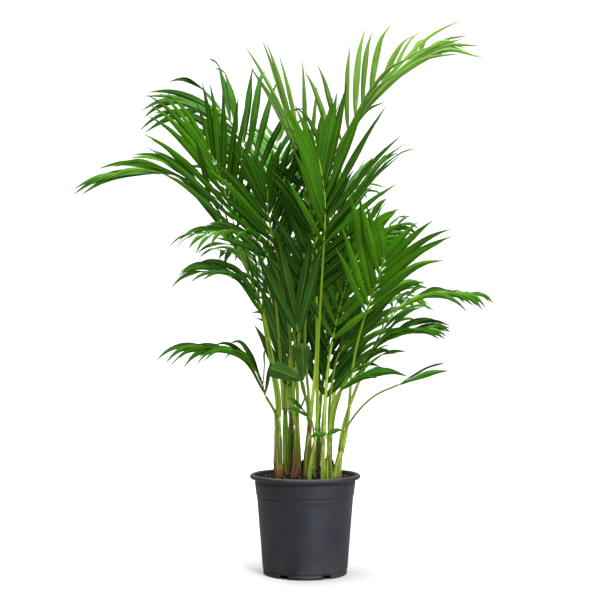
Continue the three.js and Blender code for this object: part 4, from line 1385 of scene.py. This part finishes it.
def set_stage(settings):
    """A pale floor that runs up into a wall, soft lights and the camera."""
    scene = bpy.context.scene
    turn = np.radians(np.linspace(0, 90, 12))
    profile = np.concatenate([
        [[-6.0, 0.0], [3.0, 0.0]],
        np.stack([3.0 + 1.5 * np.sin(turn), 1.5 - 1.5 * np.cos(turn)], -1)[1:],
        [[4.5, 6.0]],
    ])
    corners = np.concatenate([
        np.column_stack([np.full(len(profile), side), profile]) for side in (-6.0, 6.0)
    ])
    count = len(profile)
    mesh = bpy.data.meshes.new("pale_floor")
    faces = [[i, i + count, i + count + 1, i + 1] for i in range(count - 1)]
    mesh.from_pydata(corners.tolist(), [], faces)
    mesh.polygons.foreach_set("use_smooth", np.ones(count - 1, bool))
    floor = bpy.data.objects.new("pale_floor", mesh)
    scene.collection.objects.link(floor)
    floor.data.materials.append(floor_material())

    world = bpy.data.worlds.new("studio")
    world.use_nodes = True
    world.node_tree.nodes["Background"].inputs["Color"].default_value = (1, 1, 1, 1)
    world.node_tree.nodes["Background"].inputs["Strength"].default_value = 0.2
    scene.world = world
    add_light("key_light", (0.9, -2.0, 2.4), (0, 0, 0.5), 1.0, 66)
    add_light("side_light", (2.4, -1.2, 0.9), (0, 0, 0.3), 0.9, 12)
    bluish = (0.72, 0.82, 1.0)
    add_light("low_light", (1.1, -1.9, 0.13), (0, 0, 0.05), 0.25, 0.17, bluish, math.radians(16))
    add_light("back_light", (0, 1.4, 3.2), (0, 4.2, 1.2), 3.0, 215)
    add_light("top_light", (-0.2, 0.1, 3.0), (0, 0, 0), 2.2, 130)
    scene.view_settings.view_transform = "Standard"
    scene.view_settings.look = "None"

    camera = bpy.data.cameras.new("camera")
    camera.lens = settings.lens
    camera.sensor_width = 36
    camera.clip_end = 50
    eye = bpy.data.objects.new("camera", camera)
    scene.collection.objects.link(eye)
    eye.location = (settings.aside, -settings.distance, settings.height)
    eye.rotation_euler = (math.pi / 2 + settings.tilt, 0, 0)
    scene.camera = eye


# ---- Operators --------------------------------------------------------------------------------


class PALM_OT_fronds(bpy.types.Operator):
    """Grow the stalk and the leaflets of every frond"""

    bl_idname = "palm.fronds"
    bl_label = "Grow Fronds"

    def execute(self, context):
        leaves = context.scene.palm_leaves
        stalks = context.scene.palm_stalks
        leaf = shared_material("palm_leaf", lambda: leaf_material(leaves))
        stalk = shared_material("palm_stalk", lambda: stalk_material(stalks))
        for node in FRONDS:
            rings, leaflets = read_frond(node)
            grow_leaflets(node, leaflets, leaves, leaf)
            grow_stalk(node, rings, leaflets, stalks, stalk)
        return {"FINISHED"}


class PALM_OT_canes(bpy.types.Operator):
    """Grow the canes in their leaf sheaths, and the dead stub"""

    bl_idname = "palm.canes"
    bl_label = "Grow Canes"

    def execute(self, context):
        settings = context.scene.palm_canes
        material = shared_material("palm_cane", lambda: cane_material(settings))
        for number, node in enumerate(CANES):
            grow_cane(node, number, settings, material)
        dead = dead_material()
        grow_stub(dead)
        grow_husks(dead)
        return {"FINISHED"}


class PALM_OT_pot(bpy.types.Operator):
    """Mould the nursery pot"""

    bl_idname = "palm.pot"
    bl_label = "Mould Pot"

    def execute(self, context):
        settings = context.scene.palm_pot
        mould_pot(settings, pot_material(settings))
        return {"FINISHED"}


class PALM_OT_soil(bpy.types.Operator):
    """Fill the pot with soil and scatter crumbs on it"""

    bl_idname = "palm.soil"
    bl_label = "Fill Soil"

    def execute(self, context):
        settings = context.scene.palm_soil
        dark = soil_material(settings, "palm_soil", 0.2)
        light = soil_material(settings, "palm_bark", 1.0)
        fill_soil(dark)
        scatter_crumbs(settings, (dark, light))
        return {"FINISHED"}


class PALM_OT_stage(bpy.types.Operator):
    """Set the floor, the lights and the camera"""

    bl_idname = "palm.stage"
    bl_label = "Set Stage"

    def execute(self, context):
        set_stage(context.scene.palm_stage)
        return {"FINISHED"}


OPERATORS = (PALM_OT_fronds, PALM_OT_canes, PALM_OT_pot, PALM_OT_soil, PALM_OT_stage)


class PALM_PT_panel(bpy.types.Panel):
    """Lists the steps that make the palm"""

    bl_label = "Potted Palm"
    bl_idname = "PALM_PT_panel"
    bl_space_type = "VIEW_3D"
    bl_region_type = "UI"
    bl_category = "Palm"

    def draw(self, context):
        for operator in OPERATORS:
            self.layout.operator(operator.bl_idname)


def register():
    """Makes the settings, the operators and the panel known."""
    for name, group in GROUPS.items():
        bpy.utils.register_class(group)
        setattr(bpy.types.Scene, name, PointerProperty(type=group))
    for operator in OPERATORS:
        bpy.utils.register_class(operator)
    bpy.utils.register_class(PALM_PT_panel)


def unregister():
    """Takes the panel, the operators and the settings away again."""
    bpy.utils.unregister_class(PALM_PT_panel)
    for operator in reversed(OPERATORS):
        bpy.utils.unregister_class(operator)
    for name, group in reversed(GROUPS.items()):
        delattr(bpy.types.Scene, name)
        bpy.utils.unregister_class(group)


def main():
    """Registers the add-on and makes every piece."""
    register()
    bpy.ops.palm.fronds()
    bpy.ops.palm.canes()
    bpy.ops.palm.pot()
    bpy.ops.palm.soil()
    bpy.ops.palm.stage()


if __name__ == "__main__":
    main()
